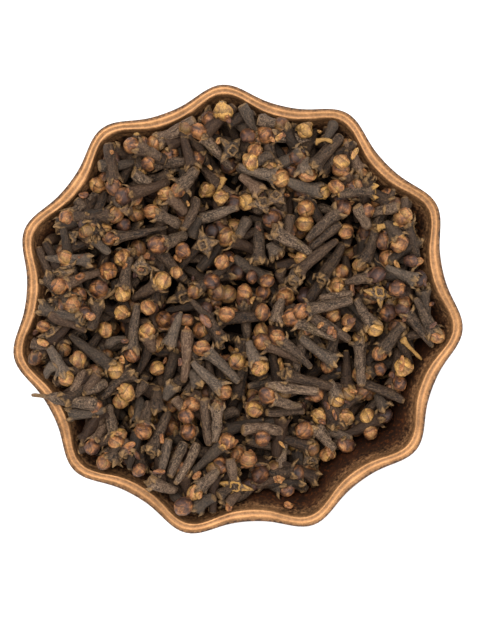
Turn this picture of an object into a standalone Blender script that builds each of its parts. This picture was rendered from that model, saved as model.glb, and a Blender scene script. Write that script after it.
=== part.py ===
"""A lobed copper bowl heaped with whole cloves.

Frame: metres, +Z up. The origin is the middle of the flat underside of the bowl.
Every length below is in millimetres, and MM turns it to metres.
"""

import math
import random

import bmesh
import bpy
import numpy as np
from mathutils import Matrix, Vector

MM = 0.001

# Lobes of the bowl: a wave of eleven around the wall, full at the rim and gone at the base.
LOBES = 11
FIRST_TIP_DEG = -4.66
LOBE_HEIGHT = 2.16
LOBE_POINT = 0.29
INSIDE_LOBE = 1.1
LOBE_START_Z = 2.0
LOBE_FULL_Z = 38.0
STEPS_PER_LOBE = 8

# Bowl profile as radius and height, without its lobes.
RIM_Z = 42.0
FLOOR_Z = 1.8
INNER_WALL = [(29.0, FLOOR_Z), (32.0, 3.6), (43.4, 21.0), (51.6, 38.2), (53.4, 40.4)]
RIM_SECTION = [(54.2, 41.6), (55.4, RIM_Z), (56.4, 41.2), (56.1, 39.8)]
OUTER_WALL = [(53.5, 38.9), (45.0, 20.5), (33.6, 2.0), (31.8, 0.0)]

# Heap of cloves: its top is a low dome, sunk on one side where the wall shows.
DOME_Z = 45.5
DOME_DROP = 3.8
DOME_RADIUS = 53.0
DOME_POWER = 2.2
HOLLOW_DEPTH = 10.0
HOLLOW_DEG = -52.0
HOLLOW_HALF_DEG = 44.0
HOLLOW_FROM = 20.0
HOLLOW_TO = 50.0
CORE_BELOW_TOP = 5.2
CORE_FROM_WALL = 1.0
CORE_FROM_FLOOR = 0.3
CORE_RINGS = [0.26, 0.50, 0.72, 0.90]
CORE_STEPS_PER_LOBE = 4

# Cloves: outlines from tail to head as share of length and radius.
WHOLE = [(0.0, 1.05), (0.34, 1.45), (0.66, 1.65), (0.75, 2.45), (0.89, 2.35), (1.0, 0.0)]
HEADLESS = [(0.0, 1.0), (0.38, 1.45), (0.82, 1.65), (1.0, 2.55)]
BALL = [(0.0, 0.0), (0.28, 2.25), (0.74, 2.2), (1.0, 0.0)]
STUB = [(0.0, 1.05), (0.5, 1.45), (1.0, 1.25)]
STALKED = [(0.0, 0.6), (0.27, 0.7), (0.34, 1.25), (0.7, 1.6), (1.0, 1.7)]
KINDS = {
    "whole": (WHOLE, (13.6, 16.4)),
    "headless": (HEADLESS, (10.5, 13.0)),
    "ball": (BALL, (4.6, 5.2)),
    "stub": (STUB, (6.5, 9.5)),
    "stalked": (STALKED, (17.4, 17.4)),
}
KIND_SHARES = [("whole", 0.62), ("headless", 0.19), ("ball", 0.12), ("stub", 0.07)]
SIDES = 4
CORNER_SHARE = 1.12
CLOVE_COUNT = 196
BOW = 0.7
SEED = 11

# Laying the cloves down.
CELL = 0.5
FIELD_HALF = 62.0
SPREAD_RADIUS = 52.0
TRIES = 30
EDGE_FROM = 45.5
EDGE_FAVOUR = 1.8
SLOPES = [-0.9, -0.6, -0.35, -0.15, 0.0, 0.15, 0.35, 0.6, 0.9]
FLAT_SLOPES = [-0.1, -0.05, 0.0, 0.05, 0.1]
SINK = 0.45
WALL_MARGIN = 0.7
VERTEX_GAP = 0.5
RIM_GAP = 0.3
INWARD_STEP = 1.2
# The one stalked clove that lies across the rim: its middle, direction and turn among the others.
RIM_CLOVE = (-44.2, -22.7, -8.0)
RIM_CLOVE_TURN = 0.6


def material(name, colour, roughness, metallic):
    """One plain material."""
    made = bpy.data.materials.new(name)
    made.use_nodes = True
    shader = made.node_tree.nodes["Principled BSDF"]
    shader.inputs["Base Color"].default_value = (*colour, 1.0)
    shader.inputs["Roughness"].default_value = roughness
    shader.inputs["Metallic"].default_value = metallic
    return made


def lobe(angle):
    """Height of the lobes at an angle, as millimetres outward at the rim."""
    turn = angle - math.radians(FIRST_TIP_DEG)
    return LOBE_HEIGHT * np.cos(LOBES * turn) + LOBE_POINT * np.cos(2 * LOBES * turn)


def lobe_share(z):
    """How far the lobes have grown at a height, from none at the base to all at the rim."""
    return np.clip((z - LOBE_START_Z) / (LOBE_FULL_Z - LOBE_START_Z), 0.0, 1.0)


def inner_radius(z, angle):
    """Radius of the inside of the wall at a height and angle."""
    heights = [point[1] for point in INNER_WALL]
    radii = [point[0] for point in INNER_WALL]
    return np.interp(z, heights, radii) + INSIDE_LOBE * lobe_share(z) * lobe(angle)


def heap_top(x, y):
    """Height of the cloves' upper surface over a point."""
    radius = np.hypot(x, y)
    away = np.degrees(np.arctan2(y, x)) - HOLLOW_DEG
    away = (away + 180.0) % 360.0 - 180.0
    near_wall = np.clip((radius - HOLLOW_FROM) / (HOLLOW_TO - HOLLOW_FROM), 0.0, 1.0)
    hollow = HOLLOW_DEPTH * near_wall * np.exp(-((away / HOLLOW_HALF_DEG) ** 2))
    return DOME_Z - DOME_DROP * (radius / DOME_RADIUS) ** DOME_POWER - hollow


def core_top(x, y):
    """Height of the smooth core that the cloves lie on."""
    return heap_top(x, y) - CORE_BELOW_TOP


def turned(name, profile, steps):
    """A mesh turned about Z from a profile that ends down its outer side."""
    mesh = bpy.data.meshes.new(name)
    points = [(radius, 0.0, z) for radius, z in profile]
    mesh.from_pydata(points, [(i, i + 1) for i in range(len(points) - 1)], [])
    piece = bpy.data.objects.new(name, mesh)
    bpy.context.scene.collection.objects.link(piece)
    screw = piece.modifiers.new("Turn", "SCREW")
    screw.axis = "Z"
    screw.steps = steps
    screw.render_steps = steps
    screw.use_merge_vertices = True
    screw.merge_threshold = 0.00001
    made = applied(piece)
    bpy.data.objects.remove(piece)
    return made


def applied(piece):
    """The mesh of an object with its modifiers applied."""
    graph = bpy.context.evaluated_depsgraph_get()
    return bpy.data.meshes.new_from_object(piece.evaluated_get(graph))


def add_object(name, mesh, collection, look):
    """A named object with one material in a collection."""
    piece = bpy.data.objects.new(name, mesh)
    mesh.materials.clear()
    if look:
        mesh.materials.append(look)
    collection.objects.link(piece)
    return piece


def triangulate(mesh):
    """Split every face into triangles."""
    work = bmesh.new()
    work.from_mesh(mesh)
    bmesh.ops.triangulate(work, faces=work.faces[:])
    work.to_mesh(mesh)
    work.free()


def make_bowl(collection):
    """Sheet copper bowl: turned wall and rolled rim, pushed in and out to eleven lobes."""
    profile = [(0.0, FLOOR_Z), *INNER_WALL, *RIM_SECTION, *OUTER_WALL, (0.0, 0.0)]
    mesh = turned("bowl", profile, LOBES * STEPS_PER_LOBE)
    inside_end = 54.0
    for vertex in mesh.vertices:
        x, y, z = vertex.co
        radius = math.hypot(x, y)
        angle = math.atan2(y, x) + math.radians(FIRST_TIP_DEG)
        inside = z > FLOOR_Z and radius < inside_end and on_inner_wall(radius, z)
        out = lobe(angle) * lobe_share(z) * (INSIDE_LOBE if inside else 1.0)
        radius = radius + out if radius > 0.01 else 0.0
        vertex.co = Vector((radius * math.cos(angle), radius * math.sin(angle), z)) * MM
    triangulate(mesh)
    look = material("antiqued copper", (0.46, 0.23, 0.10), 0.38, 1.0)
    return add_object("bowl", mesh, collection, look)


def on_inner_wall(radius, z):
    """Whether a point of the unlobed profile is one of the inner wall's."""
    return any(abs(radius - r) < 0.01 and abs(z - h) < 0.01 for r, h in INNER_WALL)


def make_core():
    """Smooth body of the heap: the inside of the bowl, a gap clear of it, up to the core's top."""
    rings = [(0.0, 1.0), *[(share, 1.0) for share in CORE_RINGS], (1.0, 1.0)]
    sides = [(1.0, 0.55), (1.0, 0.1), (1.0, 0.0), (0.0, 0.0)]
    mesh = turned("core", rings + sides, LOBES * CORE_STEPS_PER_LOBE)
    bottom = FLOOR_Z + CORE_FROM_FLOOR
    for vertex in mesh.vertices:
        x, y, level = vertex.co
        share = math.hypot(x, y)
        angle = math.atan2(y, x) + math.radians(FIRST_TIP_DEG)
        edge = core_edge(angle)
        z = bottom + level * (edge - bottom)
        radius = share * float(inner_radius(z, angle) - CORE_FROM_WALL)
        if level > 0.99:
            z = float(core_top(radius * math.cos(angle), radius * math.sin(angle)))
        vertex.co = Vector((radius * math.cos(angle), radius * math.sin(angle), z)) * MM
    triangulate(mesh)
    return mesh


def core_edge(angle):
    """Height at which the core's top meets its side."""
    radius = DOME_RADIUS - 3.0
    for _ in range(6):
        z = float(core_top(radius * math.cos(angle), radius * math.sin(angle)))
        radius = float(inner_radius(z, angle) - CORE_FROM_WALL)
    return z


def clove_mesh(kind, length):
    """One clove with few sides, standing on its tail: corners of the calyx are its four sepals."""
    outline = KINDS[kind][0]
    profile = [(radius * CORNER_SHARE, share * length) for share, radius in reversed(outline)]
    if profile[0][0] > 0.0:
        profile.insert(0, (0.0, length))
    if profile[-1][0] > 0.0:
        profile.append((0.0, 0.0))
    mesh = turned(kind, profile, SIDES)
    return mesh


def place(piece):
    """Matrix that lays a clove, made standing on its tail, in its resting place."""
    run = math.hypot(1.0, piece["slope"])
    direction = Vector(
        (math.cos(piece["heading"]) / run, math.sin(piece["heading"]) / run, piece["slope"] / run)
    )
    turn = direction.to_track_quat("Z", "Y").to_matrix().to_4x4()
    middle = Matrix.Translation((piece["x"], piece["y"], piece["z"]))
    return (
        middle
        @ turn
        @ Matrix.Rotation(piece["roll"], 4, "Z")
        @ Matrix.Translation((0.0, 0.0, -piece["length"] / 2.0))
    )


def bowed(points, length, bow):
    """Points of a clove bent sideways along its length."""
    bent = []
    for x, y, z in points:
        along = z / length
        bent.append(Vector((x + bow * 4.0 * along * (1.0 - along), y, z)))
    return bent


class Field:
    """Heights of what lies in the bowl so far, on a grid of square cells."""

    def __init__(self):
        line = np.arange(-FIELD_HALF, FIELD_HALF + CELL / 2.0, CELL)
        self.x, self.y = np.meshgrid(line, line, indexing="ij")
        radius = np.hypot(self.x, self.y)
        angle = np.arctan2(self.y, self.x)
        self.height = core_top(self.x, self.y)
        step = 0.5
        wall = np.full_like(radius, FLOOR_Z)
        for z in np.arange(FLOOR_Z, RIM_Z + RIM_GAP, step):
            beyond = radius > inner_radius(z, angle) - WALL_MARGIN
            wall[beyond] = z + step
        self.height = np.maximum(self.height, wall)
        self.height[radius > RIM_SECTION[2][0] + lobe(angle) + WALL_MARGIN] = 0.0

    def window(self, piece):
        """The cells that a clove may cover."""
        reach = piece["length"] / 2.0 + 3.0
        low_i = max(int((piece["x"] - reach + FIELD_HALF) / CELL), 0)
        high_i = int((piece["x"] + reach + FIELD_HALF) / CELL) + 1
        low_j = max(int((piece["y"] - reach + FIELD_HALF) / CELL), 0)
        high_j = int((piece["y"] + reach + FIELD_HALF) / CELL) + 1
        return slice(low_i, high_i), slice(low_j, high_j)

    def footprint(self, piece, slope):
        """Cells under a clove, with its half height and the rise of its axis over each."""
        cells = self.window(piece)
        dx = self.x[cells] - piece["x"]
        dy = self.y[cells] - piece["y"]
        along = dx * math.cos(piece["heading"]) + dy * math.sin(piece["heading"])
        across = dy * math.cos(piece["heading"]) - dx * math.sin(piece["heading"])
        run = math.hypot(1.0, slope)
        share = along * run / piece["length"] + 0.5
        outline = KINDS[piece["kind"]][0]
        radius = np.interp(share, [p[0] for p in outline], [p[1] for p in outline], 0.0, 0.0)
        covered = np.abs(across) < radius
        half = np.sqrt(np.maximum(radius**2 - across**2, 0.0)) * run
        return cells, covered, half, along * slope

    def rest(self, piece, slopes=SLOPES):
        """Let a clove down until it touches, at the slope that leaves its middle lowest."""
        best = None
        for slope in slopes:
            cells, covered, half, rise = self.footprint(piece, slope)
            if not covered.any():
                continue
            z = float(np.max((self.height[cells] + half - rise)[covered]))
            if best is None or z < best:
                best = z
                piece["slope"] = slope
        piece["z"] = best - SINK
        return piece

    def cover(self, piece):
        """Raise the cells that a laid clove covers to its upper side."""
        cells, covered, half, rise = self.footprint(piece, piece["slope"])
        top = piece["z"] + rise + half
        here = self.height[cells]
        here[covered] = np.maximum(here, top)[covered]


def clear_of_bowl(points):
    """Whether points are inside the wall by the gap, above the rim too."""
    return all(
        math.hypot(x, y) < inner_radius(z, math.atan2(y, x)) - VERTEX_GAP for x, y, z in points
    )


def corner_points(piece):
    """Corners of a laid clove and the middles between rings, in millimetres."""
    frame = place(piece)
    points = []
    outline = KINDS[piece["kind"]][0]
    for share in np.linspace(0.0, 1.0, 13):
        radius = CORNER_SHARE * float(np.interp(share, *zip(*outline)))
        for side in range(SIDES):
            turn = 2.0 * math.pi * side / SIDES
            points.append((radius * math.cos(turn), radius * math.sin(turn), share * piece["length"]))
    return [frame @ point for point in bowed(points, piece["length"], piece["bow"])]


def new_piece(draw, kind):
    """A clove of a kind with its own length, bow and roll, not laid yet."""
    low, high = KINDS[kind][1]
    return {
        "kind": kind,
        "length": draw.uniform(low, high),
        "bow": draw.uniform(-BOW, BOW) if kind in ("whole", "headless") else 0.0,
        "roll": draw.uniform(0.0, 2.0 * math.pi),
    }


def laid(field, piece, x, y, heading):
    """A clove let down at a point, moved inward while it would cross the wall, or None."""
    piece = dict(piece, x=x, y=y, heading=heading)
    for _ in range(4):
        field.rest(piece)
        if clear_of_bowl(corner_points(piece)):
            return piece
        radius = math.hypot(piece["x"], piece["y"])
        inward = max(radius - INWARD_STEP, 0.1) / max(radius, 0.1)
        piece["x"] *= inward
        piece["y"] *= inward
    return None


def lay_cloves():
    """Lay the cloves one by one, each in the deepest of some drawn places."""
    draw = random.Random(SEED)
    field = Field()
    kinds = []
    for kind, share in KIND_SHARES:
        kinds += [kind] * round(share * CLOVE_COUNT)
    draw.shuffle(kinds)
    kinds.insert(round(RIM_CLOVE_TURN * len(kinds)), "stalked")
    pieces = []
    for kind in kinds:
        piece = new_piece(draw, kind)
        if kind == "stalked":
            x, y, heading = RIM_CLOVE
            piece.update(x=x, y=y, heading=math.radians(heading))
            best = field.rest(piece, FLAT_SLOPES)
        else:
            best = best_place(draw, field, piece)
        if best is not None:
            field.cover(best)
            pieces.append(best)
    return pieces


def best_place(draw, field, piece):
    """The drawn place where a clove comes to lie deepest under the heap's top, or None."""
    best = None
    for _ in range(TRIES):
        radius = SPREAD_RADIUS * math.sqrt(draw.random())
        angle = draw.uniform(-math.pi, math.pi)
        heading = draw.uniform(-math.pi, math.pi)
        found = laid(field, piece, radius * math.cos(angle), radius * math.sin(angle), heading)
        if found is None:
            continue
        end = abs(found["slope"]) * found["length"] / 4.0
        at_edge = math.hypot(found["x"], found["y"]) > EDGE_FROM
        found["over"] = found["z"] + end - float(heap_top(found["x"], found["y"]))
        found["over"] -= EDGE_FAVOUR if at_edge else 0.0
        if best is None or found["over"] < best["over"]:
            best = found
    return best


def make_heap(collection):
    """The heap of cloves: a core with the cloves that show fused on, joined as one solid."""
    look = material("dried clove", (0.10, 0.06, 0.035), 0.7, 0.0)
    pieces = bpy.data.collections.new("clove pieces")
    bpy.context.scene.collection.children.link(pieces)
    for number, piece in enumerate(lay_cloves()):
        mesh = clove_mesh(piece["kind"], piece["length"])
        frame = place(piece)
        points = bowed([vertex.co for vertex in mesh.vertices], piece["length"], piece["bow"])
        for vertex, point in zip(mesh.vertices, points):
            vertex.co = (frame @ point) * MM
        add_object(f"clove {number}", mesh, pieces, None)
    core = add_object("core", make_core(), bpy.context.scene.collection, None)
    union = core.modifiers.new("Fuse", "BOOLEAN")
    union.operation = "UNION"
    union.operand_type = "COLLECTION"
    union.collection = pieces
    union.solver = "EXACT"
    mesh = applied(core)
    for piece in [core, *pieces.objects]:
        bpy.data.objects.remove(piece)
    bpy.data.collections.remove(pieces)
    keep_main_shell(mesh)
    return add_object("cloves", mesh, collection, look)


def keep_main_shell(mesh):
    """Keep the outer shell of the joined heap: inner hollows are filled and scraps dropped."""
    work = bmesh.new()
    work.from_mesh(mesh)
    bmesh.ops.remove_doubles(work, verts=work.verts[:], dist=0.00001)
    bmesh.ops.dissolve_degenerate(work, edges=work.edges[:], dist=0.00001)
    bmesh.ops.triangulate(work, faces=work.faces[:])
    shells = []
    seen = set()
    for face in work.faces:
        if face in seen:
            continue
        shell = []
        queue = [face]
        seen.add(face)
        while queue:
            current = queue.pop()
            shell.append(current)
            for edge in current.edges:
                if len(edge.link_faces) != 2:
                    continue
                for other in edge.link_faces:
                    if other not in seen:
                        seen.add(other)
                        queue.append(other)
        shells.append(shell)
    shells.sort(key=len)
    for shell in shells[:-1]:
        bmesh.ops.delete(work, geom=shell, context="FACES")
    loose = [vertex for vertex in work.verts if not vertex.link_faces]
    bmesh.ops.delete(work, geom=loose, context="VERTS")
    work.to_mesh(mesh)
    work.free()


def main():
    for item in list(bpy.data.objects):
        bpy.data.objects.remove(item)
    collection = bpy.data.collections.new("bowl of whole cloves")
    bpy.context.scene.collection.children.link(collection)
    make_bowl(collection)
    make_heap(collection)


main()
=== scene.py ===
import math
import random

import bmesh
import bpy
import numpy as np
from bpy.props import FloatProperty, FloatVectorProperty, IntProperty, PointerProperty, StringProperty
from bpy.types import Operator, Panel, PropertyGroup
from mathutils import Matrix, Vector


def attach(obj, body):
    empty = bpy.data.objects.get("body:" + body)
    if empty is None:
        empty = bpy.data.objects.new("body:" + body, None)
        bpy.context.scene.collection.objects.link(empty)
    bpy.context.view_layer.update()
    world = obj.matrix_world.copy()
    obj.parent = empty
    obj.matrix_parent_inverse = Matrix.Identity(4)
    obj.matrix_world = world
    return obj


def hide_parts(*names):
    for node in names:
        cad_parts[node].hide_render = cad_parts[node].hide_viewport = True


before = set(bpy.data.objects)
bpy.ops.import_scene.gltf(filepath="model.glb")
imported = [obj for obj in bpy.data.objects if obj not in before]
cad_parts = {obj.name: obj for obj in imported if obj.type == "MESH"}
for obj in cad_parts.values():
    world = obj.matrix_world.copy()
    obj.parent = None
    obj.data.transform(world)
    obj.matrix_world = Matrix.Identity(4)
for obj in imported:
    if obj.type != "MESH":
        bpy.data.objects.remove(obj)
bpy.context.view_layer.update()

bl_info = {
    "name": "Bowl of Whole Cloves",
    "version": (1, 0, 0),
    "blender": (4, 5, 0),
    "location": "View3D > Sidebar > Cloves",
    "description": "A lobed copper bowl heaped with whole dried cloves",
    "category": "Add Mesh",
}

MM = 0.001

# Bowl profile without its lobes, in millimetres, from the middle of the floor up the inside,
# over the rim and down the outside: radius, height, share of the inside's deeper lobes, and
# how far the patina is rubbed off. That share is rubbed wear with patina in the grooves, and
# in part painted light and shade as well: low for painted shade and dark reflections down the
# inside wall, at the roll's outer edge and in the rim's bands, high for painted light at the inner lip.
BOWL_PROFILE = [
    (0.0, 1.8, 1.0, 0.0), (10.0, 1.8, 1.0, 0.0), (20.0, 1.8, 1.0, 0.0), (28.4, 1.8, 1.0, 0.0),
    (30.4, 2.2, 1.0, 0.0), (31.9, 3.5, 1.0, 0.0), (33.6, 6.0, 1.0, 0.0), (37.6, 12.2, 1.0, 0.0),
    (41.6, 18.4, 1.0, 0.0), (43.5, 21.2, 1.0, 0.0), (45.4, 25.0, 1.0, 0.0), (48.3, 31.2, 1.0, 0.0),
    (50.6, 36.0, 1.0, 0.03), (51.8, 38.2, 1.0, 0.16), (52.15, 38.85, 1.0, 0.28), (52.45, 39.3, 1.0, 0.42),
    (52.7, 39.6, 1.0, 0.50), (52.85, 39.95, 1.0, 0.52), (52.95, 40.5, 1.0, 0.54), (53.05, 41.0, 1.0, 0.58),
    (53.2, 41.4, 1.0, 0.66), (53.4, 41.65, 1.0, 0.78), (53.65, 41.78, 1.0, 0.88), (53.95, 41.82, 1.0, 0.88),
    (54.2, 41.77, 0.9, 0.70), (54.4, 41.77, 0.8, 0.66), (54.65, 41.84, 0.7, 0.78), (54.95, 41.92, 0.6, 0.92),
    (55.2, 41.95, 0.5, 0.92), (55.45, 41.92, 0.4, 0.80), (55.7, 41.85, 0.3, 0.62), (55.9, 41.75, 0.2, 0.46),
    (56.1, 41.60, 0.1, 0.26), (56.28, 41.35, 0.0, 0.20), (56.36, 41.1, 0.0, 0.18), (56.38, 40.7, 0.0, 0.16),
    (56.25, 40.2, 0.0, 0.22), (55.9, 39.8, 0.0, 0.16), (55.2, 39.4, 0.0, 0.12), (54.3, 39.1, 0.0, 0.1),
    (53.5, 38.8, 0.0, 0.22), (52.8, 37.2, 0.0, 0.35), (49.4, 30.0, 0.0, 0.42), (45.1, 20.6, 0.0, 0.42),
    (39.4, 11.4, 0.0, 0.40), (34.2, 2.9, 0.0, 0.42), (33.3, 1.2, 0.0, 0.55), (32.6, 0.35, 0.0, 0.75),
    (31.8, 0.0, 0.0, 0.6), (28.0, 0.0, 0.0, 0.3), (0.0, 0.0, 0.0, 0.1),
]
# The inside of the wall for laying cloves against, as radius and height.
INNER_WALL = [(29.0, 1.8), (32.0, 3.6), (43.4, 21.0), (51.6, 38.2), (53.1, 40.4)]
RIM_Z = 42.0
FLOOR_Z = 1.8
OUTER_RIM = 56.4

# Models of cloves, ring by ring from the tail: height and radius in millimetres.
STEM = [
    (0.0, 0.50), (0.12, 0.94), (0.5, 1.24), (1.6, 1.38), (3.4, 1.38), (5.4, 1.46), (7.4, 1.52),
    (9.0, 1.68), (10.0, 1.98), (10.9, 2.12),
]
SLIM_STEM = [
    (0.0, 0.45), (0.12, 0.80), (0.5, 1.04), (1.8, 1.16), (3.8, 1.24), (6.0, 1.34), (8.2, 1.48),
    (9.6, 1.66), (10.5, 1.86), (11.3, 1.98),
]
ROUND_BUD = [
    (11.0, 1.72), (11.5, 2.12), (12.3, 2.34), (13.2, 2.18), (13.9, 1.66), (14.35, 0.95), (14.5, 0.35),
]
TALL_BUD = [
    (11.0, 1.66), (11.5, 2.02), (12.4, 2.24), (13.5, 2.12), (14.4, 1.60), (15.0, 0.86), (15.2, 0.30),
]
SLIM_BUD = [
    (11.4, 1.54), (11.8, 1.84), (12.6, 2.04), (13.5, 1.90), (14.2, 1.36), (14.6, 0.70), (14.75, 0.28),
]
OPEN_CUP = [
    (11.15, 1.96), (11.2, 1.62), (10.6, 1.36), (10.9, 0.86), (11.0, 0.46), (12.3, 0.34), (12.4, 0.16),
]
SQUARE_RING = [
    (11.0, 1.85), (11.45, 1.52), (11.5, 1.30), (10.9, 1.06), (10.8, 0.62), (11.1, 0.38), (11.1, 0.20),
]
LOOSE_BUD = [
    (0.0, 0.50), (0.1, 1.20), (0.5, 1.78), (1.3, 2.18), (2.3, 2.30), (3.2, 2.02), (3.9, 1.40), (4.3, 0.72),
    (4.4, 0.26),
]
TORN_BUD = [
    (0.0, 0.60), (0.15, 1.35), (0.6, 1.90), (1.5, 2.25), (2.5, 2.28), (3.3, 1.90), (3.4, 1.45), (3.0, 1.05),
    (3.5, 0.60), (3.7, 0.24),
]
FLAKE = [(0.0, 0.35), (0.05, 0.85), (0.2, 1.22), (0.42, 1.30), (0.62, 1.10), (0.66, 0.70), (0.5, 0.30)]
STUB = [
    (0.0, 0.55), (0.1, 0.98), (0.5, 1.28), (1.6, 1.42), (3.2, 1.44), (5.0, 1.52), (6.6, 1.50), (7.6, 1.34),
    (7.9, 1.10), (8.0, 0.60),
]
STALK = [
    (0.0, 0.30), (0.12, 0.56), (1.4, 0.62), (3.0, 0.50), (5.0, 0.56), (6.8, 0.66), (7.5, 0.92), (7.9, 0.86),
    (8.0, 0.45),
]
STALKED_CLOVE = [
    (0.0, 0.35), (0.2, 0.66), (1.0, 0.76), (2.4, 0.62), (4.4, 0.76), (5.2, 1.26), (6.4, 1.52), (8.0, 1.60),
    (10.2, 1.62), (13.2, 1.66), (15.4, 1.78), (16.6, 1.98), (17.2, 1.70), (17.4, 0.80),
]
# Sepals: how far out, up and how far the tip curls further out and up, and the tip's share of
# the root's size.
WIDE_SEPALS = (0.95, 0.45, 0.50, 0.85, 0.38)
CLASPING_SEPALS = (0.50, 0.65, 0.10, 0.95, 0.46)
HORNED_SEPALS = (0.80, 0.55, 0.35, 1.05, 0.22)
SPREAD_SEPALS = (1.25, 0.10, 1.45, 0.30, 0.16)
# Each model: its rings, the height where its sepals stand, the sepals, where its bud starts.
MODELS = {
    "open": (STEM + ROUND_BUD, 10.5, WIDE_SEPALS, 10.95),
    "closed": (STEM + TALL_BUD, 10.5, CLASPING_SEPALS, 10.95),
    "slim": (SLIM_STEM + SLIM_BUD, 10.9, WIDE_SEPALS, 11.35),
    "horned": (SLIM_STEM + SLIM_BUD, 10.9, HORNED_SEPALS, 11.35),
    "star": (STEM + SQUARE_RING, 10.5, HORNED_SEPALS, 99.0),
    "cup": (STEM + OPEN_CUP, 10.5, CLASPING_SEPALS, 99.0),
    "star up": (STEM + SQUARE_RING, 10.5, SPREAD_SEPALS, 99.0),
    "bud up": (STEM + ROUND_BUD, 10.5, WIDE_SEPALS, 10.95),
    "bud": (LOOSE_BUD, None, None, -1.0),
    "torn": (TORN_BUD, None, None, -1.0),
    "flake": (FLAKE, None, None, -1.0),
    "stub": (STUB, None, None, 99.0),
    "stalk": (STALK, None, None, 99.0),
    "stalked": (STALKED_CLOVE, None, None, 99.0),
}
MODEL_SIDES = 12
# How far a fallen petal's own coordinates are shifted, so that no seam crosses it.
SEAMLESS = 20.0
# How much thinner the tail of a stem may be than its model, and how far up that reaches.
THINNEST_TAIL = 0.5
TAIL_REACH = 7.0
# How far the petals wind round the bud, in radians per millimetre.
PETAL_TWIST = 0.42

# Outlines for laying: share of the length and radius.
WHOLE_LINE = [(0.0, 1.0), (0.04, 1.4), (0.6, 1.6), (0.7, 2.0), (0.78, 2.35), (0.9, 2.1), (1.0, 0.0)]
HEADLESS_LINE = [(0.0, 1.0), (0.05, 1.4), (0.8, 1.6), (1.0, 2.2)]
BALL_LINE = [(0.0, 0.0), (0.12, 1.6), (0.4, 2.3), (0.74, 2.0), (1.0, 0.0)]
STUB_LINE = [(0.0, 1.0), (0.1, 1.45), (0.9, 1.55), (1.0, 1.0)]
STALK_LINE = [(0.0, 0.6), (0.5, 0.6), (1.0, 0.8)]
STALKED_LINE = [(0.0, 0.6), (0.27, 0.7), (0.34, 1.25), (0.7, 1.6), (1.0, 1.7)]
FLAKE_LINE = [(0.0, 1.2), (1.0, 1.2)]
FACING_LINE = [(0.0, 1.3), (0.5, 1.8), (0.8, 2.4), (1.0, 1.8)]
# Kinds as drawn: outline, shortest and longest, models with their shares, and share of the heap.
WHOLE_MODELS = [("open", 4), ("closed", 3), ("slim", 2), ("horned", 2)]
KINDS = {
    "whole": (WHOLE_LINE, (12.6, 15.6), WHOLE_MODELS, 0.50),
    "headless": (HEADLESS_LINE, (10.4, 13.2), [("star", 3), ("cup", 2)], 0.25),
    "ball": (BALL_LINE, (3.8, 4.8), [("bud", 4), ("torn", 1)], 0.03),
    "stub": (STUB_LINE, (6.0, 10.5), [("stub", 1)], 0.19),
    "stalk": (STALK_LINE, (6.0, 9.0), [("stalk", 1)], 0.03),
    "stalked": (STALKED_LINE, (17.4, 17.4), [("stalked", 1)], 0.0),
    "flake": (FLAKE_LINE, (0.5, 0.8), [("flake", 1)], 0.0),
    "facing": (FACING_LINE, (4.6, 6.0), [("star up", 1), ("bud up", 1)], 0.0),
}
# The clove across the rim: its middle in millimetres and its direction in degrees.
RIM_CLOVE = (-44.2, -22.7, -8.0)
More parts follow.
